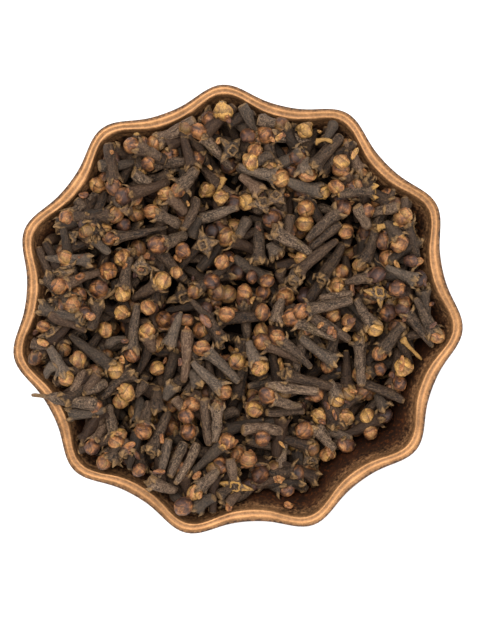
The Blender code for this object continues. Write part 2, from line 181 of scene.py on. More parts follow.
# The cloves that lie on top, lower ones first, read from the picture, quarter by quarter:
# model, head and tail in pixels of the picture, and the bud's hue from dark purple (0) over
# orange and tan to golden (1). A bud that shows alone has no tail.
TOP_CLOVES = [
    ("stub", 197, 218, 240, 207, 0.0), ("stub", 98, 167, 136, 161, 0.0), ("stub", 132, 172, 151, 182, 0.0),
    ("star up", 142, 264, 142, 250, 0.4), ("bud", 148, 163, 0.35), ("bud", 197, 156, 0.30),
    ("bud", 97, 181, 0.70), ("bud", 122.5, 224.5, 0.10), ("bud", 107, 271, 0.45), ("bud", 176, 272, 0.72),
    ("bud", 213, 279, 0.15), ("bud up", 96, 289, 99, 300, 0.35), ("bud", 76.5, 296, 0.35),
    ("bud", 234, 224, 0.72), ("bud", 209, 118, 0.30), ("bud up", 169, 151, 160, 140, 0.35),
    ("open", 132, 147, 161, 159, 0.45), ("slim", 165, 194, 186, 214, 0.65),
    ("star up", 125.5, 208, 139, 226, 0.6), ("open", 151, 211.5, 180, 225, 0.55),
    ("open", 87, 231, 110, 254, 0.5), ("closed", 156, 244, 188, 232, 0.3),
    ("star up", 207, 243, 225, 235, 0.4), ("bud", 182, 250, 0.35), ("stalk", 223, 176, 216, 196, 0.9),
    ("torn", 207, 189, 0.90), ("torn", 220, 196, 0.85), ("torn", 224, 113, 0.92),
    ("stub", 196, 196, 182, 231, 0.0), ("bud", 122, 257.5, 0.70), ("slim", 178, 190, 197, 168, 0.5),
    ("closed", 112.5, 184, 107, 142, 0.30), ("star", 90, 261, 46, 257.5, 0.5),
    ("horned", 109, 238, 168, 226, 0.4), ("star up", 181, 292, 175, 280, 0.5),
    ("open", 66, 219, 103, 186, 0.55), ("open", 58, 286.5, 106, 269, 0.4),
    ("open", 154.6, 143.4, 196, 119.5, 0.5), ("closed", 196.7, 131, 234, 170, 0.35),
    ("open", 122.5, 197, 171, 180, 0.2), ("open", 122, 293, 130, 256, 0.8),
    ("open", 164, 279, 129, 299, 0.8), ("bud", 221, 262, 0.55),
    ("stub", 241.5, 101.3, 255.3, 127.3, 0.0), ("stub", 257, 119, 275, 122, 0.0),
    ("torn", 304.3, 131.2, 0.98), ("stub", 334.9, 119.7, 325.7, 139.6, 0.0), ("bud", 389.2, 197.8, 0.40),
    ("bud", 292.8, 170.2, 0.30), ("bud", 334.9, 187, 0.60), ("star up", 354, 185.5, 366, 192, 0.0),
    ("stub", 399.2, 206.9, 369, 215, 0.0), ("bud", 366.3, 210.8, 0.40), ("bud", 403.8, 214.6, 0.70),
    ("stub", 316.5, 207, 336, 208, 0.0), ("bud", 305.1, 222.3, 0.75), ("bud", 409.9, 260.5, 0.15),
    ("bud", 272.9, 217.7, 0.25), ("bud", 301.2, 257.5, 0.75), ("bud", 284.4, 294.2, 0.55),
    ("stub", 289.7, 214.6, 287.5, 240, 0.0), ("stub", 247.7, 216.1, 238, 238, 0.0),
    ("slim", 361.7, 174, 343, 141, 0.6), ("star up", 259.9, 205.4, 250, 218, 0.8),
    ("star up", 277.5, 200.8, 282, 215, 0.2), ("torn", 245.4, 202.4, 0.85),
    ("star", 259.9, 191.6, 240, 174, 0.6), ("star", 416, 281, 385, 266.6, 0.3),
    ("open", 403.8, 217, 423, 264, 0.5), ("bud", 387.7, 257.5, 0.55), ("open", 396.9, 244.4, 384, 221, 0.55),
    ("slim", 359.4, 263.6, 375, 229, 0.75), ("stalk", 376.2, 228.4, 401, 222.3, 0.9),
    ("bud", 396.1, 288.1, 0.30), ("closed", 376.2, 274.3, 343, 283, 0.05), ("bud", 334.9, 285, 0.75),
    ("stub", 319.6, 299, 353.3, 292.7, 0.0), ("star up", 374.7, 294.2, 362, 304, 0.9),
    ("stub", 281, 268, 287.5, 284, 0.0), ("star", 293, 281, 298, 268, 0.2), ("bud", 266.8, 280.4, 0.50),
    ("bud", 251.5, 276.6, 0.30), ("bud", 244.6, 291.1, 0.55), ("bud", 346.4, 230.7, 0.60),
    ("stub", 341, 222.3, 309, 249.5, 0.0), ("cup", 277.5, 259, 268, 243, 0.45),
    ("star", 258.4, 262, 258.6, 220, 0.3), ("star", 272.9, 229.9, 314, 256.5, 0.4),
    ("open", 342.6, 207.7, 306, 240, 0.25), ("stub", 354.8, 205, 369, 229.5, 0.0),
    ("star", 319.6, 281.9, 344, 240, 0.4), ("star", 296.6, 272.8, 338, 239, 0.5),
    ("closed", 322.7, 189.3, 284, 180.5, 0.8), ("open", 280.6, 178.6, 238, 166, 0.7),
    ("stub", 272.1, 154.9, 256.8, 166, 0.6), ("torn", 254.5, 152, 0.60), ("torn", 252.2, 161, 0.75),
    ("bud", 305.1, 206.9, 0.60), ("star", 372.4, 190.1, 336, 195, 0.95),
    ("star", 302.8, 151.8, 268, 168, 0.4),
    ("open", 308.9, 173.3, 303, 157, 0.7), ("star", 312, 169, 341, 135, 0.5),
    ("bud", 340.3, 162.6, 0.80),
    ("bud", 248, 136.2, 0.25), ("open", 265.3, 137.3, 317, 143, 0.40), ("stalk", 317, 142.7, 330, 142.5, 0.9),
    ("stub", 54.3, 364.3, 41.3, 379.6, 0.0), ("stub", 32.9, 342.9, 48, 346.5, 0.0),
    ("star up", 52.8, 335.2, 60, 345, 0.4), ("bud", 42.9, 326, 0.50), ("stub", 104.1, 345.9, 126, 339, 0.0),
    ("bud", 104.1, 329.1, 0.75), ("torn", 120.9, 311.5, 0.80), ("torn", 79.6, 358.2, 0.70),
    ("stub", 85.7, 368.9, 68, 398, 0.0), ("stub", 98, 373.5, 85.7, 391, 0.0), ("bud", 147.7, 307.7, 0.70),
    ("bud", 186, 319.9, 0.45), ("bud", 199, 329.1, 0.50), ("stub", 107, 382, 84, 392, 0.0),
    ("star", 133.2, 373.5, 101, 399, 0.0), ("bud", 126.3, 391.8, 0.85), ("stub", 145, 381, 134.7, 397, 0.0),
    ("star", 157, 409.4, 156, 388, 0.6), ("star", 173, 385.7, 164, 399, 0.6),
    ("star", 137.8, 422.5, 138, 397, 0.6), ("open", 143.9, 431.6, 148, 399, 0.45),
    ("stub", 173, 398, 186, 414, 0.0), ("bud", 186, 414.8, 0.40), ("slim", 189.8, 402.6, 199, 391, 0.5),
    ("stub", 168.4, 437.8, 159, 477, 0.0), ("stub", 222, 417.9, 239, 414.5, 0.0),
    ("stub", 203.6, 397, 209.7, 446, 0.0), ("star", 215.8, 405, 214.3, 442, 0.4),
    ("star", 127, 453, 124, 440, 0.7), ("star", 113.3, 457.7, 120, 446, 0.4), ("bud", 139.3, 468.4, 0.22),
    ("bud", 238, 454.6, 0.60), ("bud", 237.3, 361.2, 0.80), ("stub", 229.6, 457.7, 233, 480, 0.0),
    ("bud", 218.9, 466.8, 0.35), ("star", 150, 479.1, 178, 490, 0.5), ("bud", 183.7, 505.1, 0.20),
    ("star", 195.9, 508.2, 215, 495.5, 0.1), ("stub", 217.4, 496, 235, 486, 0.0),
    ("star up", 235.7, 483.7, 240, 470, 0.95), ("stub", 228, 503.6, 239, 493, 0.3),
    ("star", 97, 303, 90.3, 330, 0.0), ("star", 41, 306.5, 85, 320, 0.2), ("stub", 50, 313, 87, 331, 0.0),
    ("open", 66.6, 377.3, 49.5, 346, 0.75), ("open", 147.7, 330.6, 153, 352, 0.75),
    ("bud", 161.5, 321.4, 0.45), ("star", 67.4, 413.3, 105, 410, 0.5), ("open", 91.8, 446.9, 107, 417, 0.25),
    ("open", 117.9, 442.4, 107.5, 403, 0.50), ("star", 150, 453.1, 169.5, 409, 0.3),
    ("bud", 189, 432.4, 0.35), ("stub", 184, 441, 169.5, 477, 0.0), ("stub", 198, 442, 174, 485, 0.0),
    ("closed", 195.2, 491, 219, 468, 0.75), ("open", 226.5, 440.8, 188, 476.5, 0.50),
    ("open", 131.6, 354.3, 137, 303, 0.35), ("open", 116, 371, 67.5, 333, 0.85),
    ("cup", 166.8, 349, 181, 311, 0.7), ("stub", 186, 329, 183, 382.5, 0.0),
    ("star", 221.9, 341.3, 189.5, 299, 0.3), ("open", 200.5, 348.2, 239, 383, 0.50),
    ("bud", 225.8, 313.8, 0.55), ("star", 199.8, 385, 189, 370, 0.85), ("open", 223.5, 391, 191, 361, 0.55),
    ("bud", 156.1, 368.6, 0.78),
    ("bud", 262, 312, 0.50), ("bud", 334, 314.5, 0.50), ("bud", 348, 321, 0.55),
    ("bud up", 391, 312, 400, 300, 0.15), ("cup", 277, 326, 282, 298, 0.4), ("bud", 381, 369, 0.30),
    ("bud", 401, 383, 0.30), ("bud", 317, 395, 0.40), ("stub", 264.5, 413, 306, 412, 0.0),
    ("stub", 240, 430, 284, 433, 0.0), ("bud", 262, 438, 0.35), ("bud", 304, 433, 0.35),
    ("bud", 254.5, 410, 0.70), ("stub", 264, 386, 319, 391, 0.0), ("open", 265, 393, 304, 407, 0.30),
    ("stub", 330, 407, 346, 431, 0.0), ("stub", 326, 432, 355, 441.5, 0.0),
    ("star", 387, 407, 378, 396, 0.0), ("torn", 347, 419, 0.70), ("bud", 349, 448.5, 0.30),
    ("star up", 310, 460, 300, 450, 0.6), ("bud", 257, 474, 0.20), ("bud", 247, 459, 0.50),
    ("stub", 287.5, 490, 309, 472, 0.0), ("stub", 305, 491, 296, 486, 0.3),
    ("star", 316.5, 429, 336, 452, 0.4), ("open", 291, 317, 337, 339, 0.50),
    ("stub", 310, 315, 350, 341, 0.0), ("open", 301, 311.5, 352, 299, 0.40),
    ("open", 378.5, 354, 404, 322, 0.50), ("open", 375, 328, 355, 298, 0.85),
    ("open", 438, 335, 414, 297, 0.60), ("stalk", 401, 337, 424, 361, 0.9),
    ("open", 262, 342, 300, 362, 0.35), ("open", 277.5, 337.5, 311, 368, 0.50),
    ("open", 259, 367, 248, 340, 0.80), ("star", 335, 361, 299, 336, 0.85), ("torn", 403, 366, 0.90),
    ("star", 281, 372, 347, 389, 0.3), ("stub", 364, 383, 406, 402, 0.4), ("bud", 369, 418, 0.90),
    ("bud", 372, 434, 0.56), ("torn", 320, 418, 0.92), ("torn", 333, 464, 0.75),
    ("open", 278, 479, 287, 433, 0.60), ("bud", 276, 495, 0.60), ("open", 339, 400, 330, 379, 0.85),
    ("open", 362, 337, 362, 388, 0.80), ("star up", 229, 147, 222, 140, 0.1),
    ("star up", 72, 235, 80, 228, 0.3), ("star up", 62, 273, 70, 268, 0.1),
]
# The bowl's middle in the picture for that table, how many millimetres one pixel covers, and the
# digits after the point that a reading is good for.
READ_MIDDLE = (235.9, 311.0)
READ_SCALE = 0.2583
READ_DIGITS = 1
# Lengths that a clove on top may have, and the slopes it may lie at.
TOP_LENGTHS = (4.4, 17.5)
BALL_SIZES = (0.80, 1.0)
TOP_SLOPES = [-0.5, -0.35, -0.2, -0.1, 0.0, 0.1, 0.2, 0.35, 0.5]
FACING_SLOPES = [1.6, 2.4, 3.6]
# The share of the round buds on top that still stand in their sepals.
HOODED_SHARE = 0.5
# How far a clove that faces up is sunk between those round it.
FACING_SINK = 2.6
# How far round a fallen petal the heights bear it, and how steeply it may lie.
PETAL_REACH = 1.5
STEEPEST_PETAL = 1.2
# The height on a model where its stem ends and its head begins.
STEM_END = 9.0
# Painted shade on the cloves below: how bright they are, as a share of those on top, and how much darker they
# start.
BELOW_PAINTED_SHADE = 0.60
DARKEST_PAINTED_SHADE = -0.35

# Laying, in millimetres: the cells of the grid of heights, and the share of the cells under a
# clove that lie below it when it rests.
CELL = 0.5
TOUCHING = 0.93
# The row along the wall: how far inside the wall, at which height, and half the angle left out
# on the low side.
WALL_ROW = (2.0, 8.0)
WALL_ROW_Z = 38.0
LOW_SIDE_HALF = math.radians(38.0)
# The highest that either end of a clove's axis may come.
HIGHEST = 45.2
# The two spaces over the low side that stay free, widened by part of a clove's thickness:
# low x, low y, high x, high y and the height they start at, which axes stay this far below.
FREE_SPACES = [
    (24.2, -37.8, 37.8, -24.2, 37.6),
    (8.2, -50.8, 21.8, -37.2, 37.7),
]
HALF_CLOVE = 3.4
# The heap has fallen by its full drop at this radius, and by a power of the radius on the way.
# The hollow on its low side starts at one radius and grows over this much more.
DOME_RADIUS = 53.0
DOME_POWER = 2.2
HOLLOW_FROM = 20.0
HOLLOW_GROWS = 30.0
# Half the side of the grid, how far past its ends a clove is looked for on it, and the slopes
# that a clove may take.
FIELD_HALF = 62.0
CLOVE_REACH = 3.0
SLOPES = [-1.3, -0.9, -0.6, -0.35, -0.15, 0.0, 0.15, 0.35, 0.6, 0.9, 1.3]
FLAT_SLOPES = [-0.1, -0.05, 0.0, 0.05, 0.1]
# The places drawn for cloves reach this far out. Those that would cross the wall move inward
# step by step, and those near the edge are favoured as if they lay this much deeper.
SPREAD_RADIUS = 52.5
WALL_MARGIN = 0.5
VERTEX_GAP = 0.2
RIM_GAP = 0.3
INWARD_STEP = 0.6
INWARD_STEPS = 8
EDGE_FROM = 43.0
EDGE_FAVOUR = 2.2
# How a clove is tried against the wall: points round its axis, stations along it, and how much
# thicker than its outline it is taken to be.
SIDES = 4
STATIONS = 9
THICKER = 1.08
# The dark bed, painted shade for the deep gaps between the cloves: its floor, its gap to the wall, and the
# radius its edge is first sought at.
BED_FLOOR = 2.1
BED_GAP = 0.6
BED_FIRST_RADIUS = 48.0
BED_ROUNDS = 4
# The open mouth of a clove without its bud: from this height on, and how far it is drawn in.
MOUTH_FROM = 10.85
MOUTH_SHARE = 0.22

# The lights: name, share of the key light's power, side and place in metres.
SOFTBOXES = [
    ("key light", 1.0, 0.42, (-0.13, 0.19, 0.70)),
    ("fill light", 0.6, 0.5, (0.36, -0.30, 0.66)),
]
SENSOR = 36.0
# Pieces that the heap is joined into, with the models that each one holds.
HEAP_PIECES = {
    "cloves_open": ["open", "slim", "bud up"],
    "cloves_closed": ["closed", "horned"],
    "cloves_without_bud": ["star", "cup", "star up", "stalked"],
    "loose_buds": ["bud", "torn", "flake"],
    "broken_stems": ["stub", "stalk"],
}


def colour_setting(name, place, code):
    """A setting for a colour, as sRGB hex digits."""
    return StringProperty(name=name, description="sRGB colour of " + place, default=code)


def length_setting(name, description, size_mm):
    """A setting for a length."""
    return FloatProperty(name=name, description=description, default=size_mm * MM, unit="LENGTH")


def angle_setting(name, description, degrees):
    """A setting for an angle."""
    default = math.radians(degrees)
    return FloatProperty(name=name, description=description, default=default, subtype="ANGLE")


class CopperBowlSettings(PropertyGroup):
    """Sizes and colours of the bowl."""

    lobes: IntProperty(name="Lobes", description="Lobes round the wall", default=11)
    first_tip: angle_setting("First tip", "Direction of the first lobe's tip", -4.66)
    lobe_height: length_setting("Lobe height", "How far the lobes stand out at the rim", 2.16)
    lobe_point: length_setting("Lobe point", "How much the tips are pointed", 0.29)
    inside_lobe: FloatProperty(
        name="Inside lobes", description="Lobes of the inside as a share of the outside's", default=1.1
    )
    lobe_start: length_setting("Lobe start", "Height where the lobes begin", 2.0)
    lobe_full: length_setting("Lobe end", "Height where the lobes are full", 38.0)
    steps_per_lobe: IntProperty(name="Steps", description="Steps round each lobe", default=26)
    rubbed: colour_setting("Rubbed copper", "the rim", "8A6341")
    light_rubbed: colour_setting("Light copper", "the rim's brightest specks", "9A714B")
    patina: colour_setting("Patina", "the wall", "301608")
    dark_patina: colour_setting("Dark patina", "the patina's dark patches", "1E0E06")
    light_patina: colour_setting("Light patina", "the patina's light patches", "5C2D0D")


class CloveHeapSettings(PropertyGroup):
    """Sizes, number and colours of the cloves."""

    count: IntProperty(name="Cloves", description="Cloves laid by the rule", default=400)
    wall_count: IntProperty(
        name="Cloves along the wall", description="Cloves laid by the rule along the wall", default=75
    )
    seed: IntProperty(name="Seed", description="Start of the random draws", default=11)
    flakes: IntProperty(name="Flakes", description="Loose petals that lie between", default=110)
    tries: IntProperty(name="Tries", description="Places tried for each clove", default=14)
    dome: length_setting("Dome", "Height of the heap's middle", 40.8)
    dome_drop: length_setting("Dome drop", "How far the heap falls to the wall", 1.9)
    hollow: length_setting("Hollow", "How far the heap is sunk on its low side", 10.0)
    hollow_turn: angle_setting("Hollow direction", "Direction of the low side", -52.0)
    hollow_half: angle_setting("Hollow width", "Half the angle of the low side", 37.0)
    bed_depth: length_setting("Bed depth", "How far the dark bed lies under the heap's top", 11.0)
    bow: length_setting("Bow", "Largest sideways bow of a stem", 0.9)
    sink: length_setting("Sink", "How far a clove settles into the ones below", 0.25)
    stem: colour_setting("Stem", "stems", "564436")
    dark_stem: colour_setting("Dark stem", "furrows", "21170F")
    pale_stem: colour_setting("Pale stem", "ridges", "8C745C")
    grey_stem: colour_setting("Grey stem", "the greyest stems", "433C35")
    warm_stem: colour_setting("Warm stem", "the warmest stems", "553C2B")
    olive_stem: colour_setting("Olive stem", "olive patches", "574528")
    pale_edge: colour_setting("Pale edge", "worn edges", "8E6C44")
    purple_bud: colour_setting("Purple bud", "dark buds", "3F2A23")
    brown_bud: colour_setting("Brown bud", "brown buds", "5B3B28")
    orange_bud: colour_setting("Orange bud", "orange buds", "8A5932")
    tan_bud: colour_setting("Tan bud", "tan buds", "936A40")
    golden_bud: colour_setting("Golden bud", "golden buds", "A67C42")
    # The bed's colour is painted shade: near black, for the deep gaps under the cloves.
    shade_bed: colour_setting("Shade bed", "the bed", "120B07")


class CloveStageSettings(PropertyGroup):
    """Floor, light and camera."""

    floor: colour_setting("Floor", "the floor", "FAFAFA")
    floor_size: FloatProperty(name="Floor size", description="Side of the floor", default=2.4, unit="LENGTH")
    lens: FloatProperty(name="Lens", description="Focal length in millimetres", default=100.0)
    scale: length_setting("Scale", "Metres at the rim that one pixel of the picture covers", 0.2583)
    key: FloatProperty(name="Key light", description="Power of the key light in watts", default=4.2)
    sky: FloatProperty(name="Sky", description="Strength of the even light all round", default=1.12)
    bowl_px: FloatVectorProperty(
        name="Bowl in picture", description="Middle of the bowl in the picture, in pixels",
        size=2, default=(236.3, 311.3),
    )
    picture_px: FloatVectorProperty(
        name="Picture", description="Width and height of the picture in pixels",
        size=2, default=(480.0, 640.0),
    )


def linear(code):
    """A colour given as sRGB hex digits, as linear red, green, blue and full alpha."""
    shares = [int(code[i : i + 2], 16) / 255.0 for i in (0, 2, 4)]
    values = [s / 12.92 if s <= 0.04045 else ((s + 0.055) / 1.055) ** 2.4 for s in shares]
    return (*values, 1.0)


def add_node(tree, kind, settings=None, **inputs):
    """Add a node with its settings; an input is given a value, or linked if it is a socket."""
    made = tree.nodes.new(kind)
    for key, value in (settings or {}).items():
        setattr(made, key, value)
    for key, value in inputs.items():
        place = key.replace("_", " ")
        socket = made.inputs[int(key[1:])] if key[1:].isdigit() else made.inputs[place]
        if isinstance(value, bpy.types.NodeSocket):
            tree.links.new(value, socket)
        else:
            socket.default_value = value
    return made


def new_material(name):
    """A material with a Principled shader, as its tree and shader."""
    made = bpy.data.materials.new(name)
    made.use_nodes = True
    tree = made.node_tree
    return made, tree, tree.nodes["Principled BSDF"]


def attribute(tree, name):
    """The named attribute of the mesh."""
    return add_node(tree, "ShaderNodeAttribute", {"attribute_name": name})


def mix(tree, share, first, second):
    """Mix two colours."""
    made = add_node(tree, "ShaderNodeMix", {"data_type": "RGBA"}, i0=share, i6=first, i7=second)
    return made.outputs[2]


def multiply(tree, first, second):
    """Multiply two colours."""
    settings = {"data_type": "RGBA", "blend_type": "MULTIPLY"}
    made = add_node(tree, "ShaderNodeMix", settings, i0=1.0, i6=first, i7=second)
    return made.outputs[2]


def grey(tree, value):
    """A grey of that brightness."""
    return add_node(tree, "ShaderNodeCombineColor", Red=value, Green=value, Blue=value).outputs[0]


def math_node(tree, operation, first, second=0.0, clamp=False):
    """One step of arithmetic."""
    settings = {"operation": operation, "use_clamp": clamp}
    return add_node(tree, "ShaderNodeMath", settings, i0=first, i1=second).outputs[0]


def ramp(tree, value, low, high, start=0.0, end=1.0):
    """Map a value between two limits to a range, smoothly and without going past it."""
    settings = {"interpolation_type": "SMOOTHSTEP"}
    made = add_node(
        tree, "ShaderNodeMapRange", settings,
        Value=value, From_Min=low, From_Max=high, To_Min=start, To_Max=end,
    )
    return made.outputs["Result"]


def noise(tree, vector, size_mm, unit, detail=3.0, roughness=0.55, stretch=(1.0, 1.0, 1.0)):
    """Noise with patches of a real size; unit is how many millimetres one step of the vector is."""
    scaled = add_node(tree, "ShaderNodeVectorMath", {"operation": "MULTIPLY"}, i0=vector, i1=stretch)
    made = add_node(
        tree, "ShaderNodeTexNoise",
        Vector=scaled.outputs[0], Scale=unit / size_mm, Detail=detail, Roughness=roughness,
    )
    return made.outputs["Fac"]


def copper_material(settings):
    """Antiqued copper sheet: dark mottled patina, rubbed back to satin copper on the rim."""
    # The eye gets a bright satin rim with soft bands, and a wall that stays dark and blotched.
    made, tree, shader = new_material("copper sheet, pressed and antiqued")
    place = add_node(tree, "ShaderNodeTexCoord").outputs["Object"]
    # The rubbed share is wear, and in part painted light and shade: darker down the inside wall, at the
    # roll's outer edge and in the rim's bands, lighter at the inner lip.
    rubbed = attribute(tree, "rubbed").outputs["Fac"]
    blotch = noise(tree, place, 4.5, 1000.0, detail=4.0)
    fine = noise(tree, place, 0.8, 1000.0, detail=4.0)
    dust = noise(tree, place, 0.35, 1000.0, detail=2.0)
    patina = mix(tree, ramp(tree, blotch, 0.36, 0.64), linear(settings.dark_patina), linear(settings.patina))
    patina = mix(tree, ramp(tree, fine, 0.52, 0.68, 0.0, 0.75), patina, linear(settings.light_patina))
    copper = mix(tree, ramp(tree, fine, 0.3, 0.7), linear(settings.rubbed), linear(settings.light_rubbed))
    worn = math_node(tree, "MULTIPLY", rubbed, ramp(tree, blotch, 0.35, 0.65, 0.80, 1.15), clamp=True)
    between = math_node(tree, "MULTIPLY", ramp(tree, rubbed, 0.0, 0.25), ramp(tree, rubbed, 0.80, 0.45))
    mottle = math_node(tree, "MULTIPLY", math_node(tree, "SUBTRACT", fine, 0.5), between)
    worn = math_node(tree, "ADD", worn, math_node(tree, "MULTIPLY", mottle, 2.0), clamp=True)
    colour = mix(tree, worn, patina, copper)
    specks = ramp(tree, dust, 0.60, 0.72, 0.0, 0.15)
    colour = mix(tree, specks, colour, linear(settings.dark_patina))
    colour = grained(tree, colour, place, 0.40, 1000.0, 0.93, 1.07)
    tree.links.new(colour, shader.inputs["Base Color"])
    dull = ramp(tree, rubbed, 0.2, 0.9, 0.24, 0.0)
    roughness = math_node(tree, "ADD", ramp(tree, fine, 0.3, 0.7, 0.36, 0.46), dull)
    tree.links.new(roughness, shader.inputs["Roughness"])
    tree.links.new(ramp(tree, rubbed, 0.60, 0.86, 0.30, 0.92), shader.inputs["Metallic"])
    shader.inputs["Specular IOR Level"].default_value = 0.25
    height = math_node(tree, "ADD", fine, math_node(tree, "MULTIPLY", blotch, 2.0))
    bump = add_node(tree, "ShaderNodeBump", Strength=0.35, Distance=0.08 * MM, Height=height)
    tree.links.new(bump.outputs[0], shader.inputs["Normal"])
    return made


def own_place(tree):
    """A clove's own coordinates in millimetres, and the same shifted apart for each clove."""
    grain = attribute(tree, "grain").outputs["Vector"]
    tone = attribute(tree, "tone").outputs["Vector"]
    apart = (97.0, 89.0, 83.0)
    shifted = add_node(
        tree, "ShaderNodeVectorMath", {"operation": "MULTIPLY_ADD"}, i0=tone, i1=apart, i2=grain
    )
    return grain, shifted.outputs[0], add_node(tree, "ShaderNodeSeparateXYZ", Vector=tone)


def toned_and_shaded(tree, colour, tone, settings):
    """Give each clove its own brightness and warmth, with painted shade: the lowest tones, which the cloves
    below get, come out darker and warmer.
    """
    warmth = tone.outputs["Y"]
    cold = mix(tree, ramp(tree, warmth, 0.6, 1.0, 0.0, 0.50), colour, linear(settings.grey_stem))
    warm = mix(tree, ramp(tree, warmth, 0.4, 0.0, 0.0, 0.45), cold, linear(settings.warm_stem))
    deep_shade = (0.30, 0.24, 0.18)
    red, green, blue = (ramp(tree, tone.outputs["X"], DARKEST_PAINTED_SHADE, 1.0, low, 1.28) for low in deep_shade)
    shade = add_node(tree, "ShaderNodeCombineColor", Red=red, Green=green, Blue=blue)
    return multiply(tree, warm, shade.outputs[0])


def grained(tree, colour, place, size_mm, unit, darkest, brightest):
    """Lay a fine grain over a colour."""
    grain = noise(tree, place, size_mm, unit, detail=2.0, roughness=0.7)
    bright = ramp(tree, grain, 0.40, 0.60, darkest, brightest)
    return multiply(tree, colour, grey(tree, bright))


def stem_material(settings):
    """Dried clove stem: grey-brown, furrowed lengthwise, finely granular, paler where worn."""
    # The eye gets dull, rough sticks with no gleam, each a little other, with pale sepal tips.
    made, tree, shader = new_material("clove stem, dried and furrowed")
    _, place, tone = own_place(tree)
    edge = attribute(tree, "edge").outputs["Fac"]
    furrow = noise(tree, place, 0.75, 1.0, detail=4.0, stretch=(1.0, 1.0, 0.30))
    speck = noise(tree, place, 0.40, 1.0, detail=3.0, roughness=0.8)
    patch = noise(tree, place, 3.0, 1.0, detail=3.0)
    base = mix(tree, ramp(tree, furrow, 0.36, 0.60), linear(settings.dark_stem), linear(settings.stem))
    base = mix(tree, ramp(tree, speck, 0.48, 0.66, 0.0, 0.75), base, linear(settings.pale_stem))
    base = mix(tree, ramp(tree, speck, 0.47, 0.36, 0.0, 0.65), base, linear(settings.dark_stem))
    base = mix(tree, ramp(tree, patch, 0.55, 0.75, 0.0, 0.4), base, linear(settings.dark_stem))
    base = mix(tree, ramp(tree, patch, 0.42, 0.28, 0.0, 0.35), base, linear(settings.olive_stem))
    base = grained(tree, toned_and_shaded(tree, base, tone, settings), place, 0.30, 1.0, 0.80, 1.22)
    wear = math_node(tree, "MULTIPLY", edge, ramp(tree, speck, 0.3, 0.6, 0.30, 1.0), clamp=True)
    golden = ramp(tree, tone.outputs["Z"], 0.82, 0.94)
    worn_colour = mix(tree, golden, linear(settings.pale_edge), linear(settings.golden_bud))
    wear = math_node(tree, "MULTIPLY", wear, math_node(tree, "ADD", golden, 1.0), clamp=True)
    base = mix(tree, wear, base, worn_colour)
    tree.links.new(base, shader.inputs["Base Color"])
    shader.inputs["Roughness"].default_value = 0.58
    shader.inputs["Specular IOR Level"].default_value = 0.22
    height = math_node(tree, "ADD", math_node(tree, "MULTIPLY", furrow, 2.0), speck)
    bump = add_node(tree, "ShaderNodeBump", Strength=1.0, Distance=0.30 * MM, Height=height)
    tree.links.new(bump.outputs[0], shader.inputs["Normal"])
    return made


def bud_hue(tree, value, settings):
    """Colours of dried buds from dark purple over orange and tan to golden."""
    made = add_node(tree, "ShaderNodeValToRGB", Fac=value)
    stops = made.color_ramp.elements
    codes = [settings.purple_bud, settings.brown_bud, settings.orange_bud]
    codes += [settings.tan_bud, settings.golden_bud]
    for _ in codes[2:]:
        stops.new(0.5)
    for index, code in enumerate(codes):
        stops[index].position = index / (len(codes) - 1)
        stops[index].color = linear(code)
    return made.outputs["Color"]


def petal_turn(tree, grain):
    """Where a point lies round the bud, with the petals twisted, and its distance from the axis."""
    parts = add_node(tree, "ShaderNodeSeparateXYZ", Vector=grain)
    x, y, z = (parts.outputs[axis] for axis in "XYZ")
    turn = math_node(tree, "ARCTAN2", y, x)
    twisted = math_node(tree, "ADD", turn, math_node(tree, "MULTIPLY", z, PETAL_TWIST))
    squares = math_node(tree, "ADD", math_node(tree, "MULTIPLY", x, x), math_node(tree, "MULTIPLY", y, y))
    return twisted, math_node(tree, "SQRT", squares)


def bud_material(settings):
    """Dried clove bud: four papery petals folded over one another, mottled purple-brown and tan."""
    # The eye gets warm round beads that shine a little, with the folds as dark curved lines.
    made, tree, shader = new_material("clove bud, dried petals")
    grain, place, tone = own_place(tree)
    patch = noise(tree, place, 1.9, 1.0, detail=3.0)
    fine = noise(tree, place, 0.42, 1.0, detail=3.0, roughness=0.65)
    shift = math_node(tree, "MULTIPLY", math_node(tree, "SUBTRACT", patch, 0.5), 2.1)
    hue = math_node(tree, "ADD", tone.outputs["Z"], shift, clamp=True)
    base = bud_hue(tree, hue, settings)
    base = mix(tree, ramp(tree, fine, 0.52, 0.66, 0.0, 0.60), base, linear(settings.purple_bud))
    twisted, radius = petal_turn(tree, grain)
    twisted = math_node(tree, "ADD", twisted, math_node(tree, "MULTIPLY", patch, 0.9))
    wave = math_node(tree, "ABSOLUTE", math_node(tree, "SINE", math_node(tree, "MULTIPLY", twisted, 2.0)))
    away = math_node(tree, "MULTIPLY", math_node(tree, "MULTIPLY", wave, 0.5), radius)
    line = ramp(tree, away, 0.26, 0.05, 0.0, 0.50)
    base = mix(tree, line, base, linear(settings.dark_stem))
    # The saw across each petal paints shade under the petal that overlaps it, rising to painted light at its
    # free edge; the bump makes the same step.
    petal = math_node(tree, "FRACT", math_node(tree, "MULTIPLY", twisted, 2.0 / math.pi))
    bright = ramp(tree, petal, 0.0, 1.0, 0.62, 1.34)
    base = multiply(tree, base, grey(tree, bright))
    # Darker for a low tone: partly a clove's own tone, partly painted shade on the cloves below.
    depth = ramp(tree, tone.outputs["X"], DARKEST_PAINTED_SHADE, 0.3, 0.44, 1.0)
    base = grained(tree, multiply(tree, base, grey(tree, depth)), place, 0.45, 1.0, 0.80, 1.20)
    tree.links.new(base, shader.inputs["Base Color"])
    shader.inputs["Roughness"].default_value = 0.42
    shader.inputs["Specular IOR Level"].default_value = 0.30
    height = math_node(tree, "ADD", math_node(tree, "MULTIPLY", petal, 2.0), fine)
    bump = add_node(tree, "ShaderNodeBump", Strength=0.9, Distance=0.25 * MM, Height=height)
    tree.links.new(bump.outputs[0], shader.inputs["Normal"])
    return made


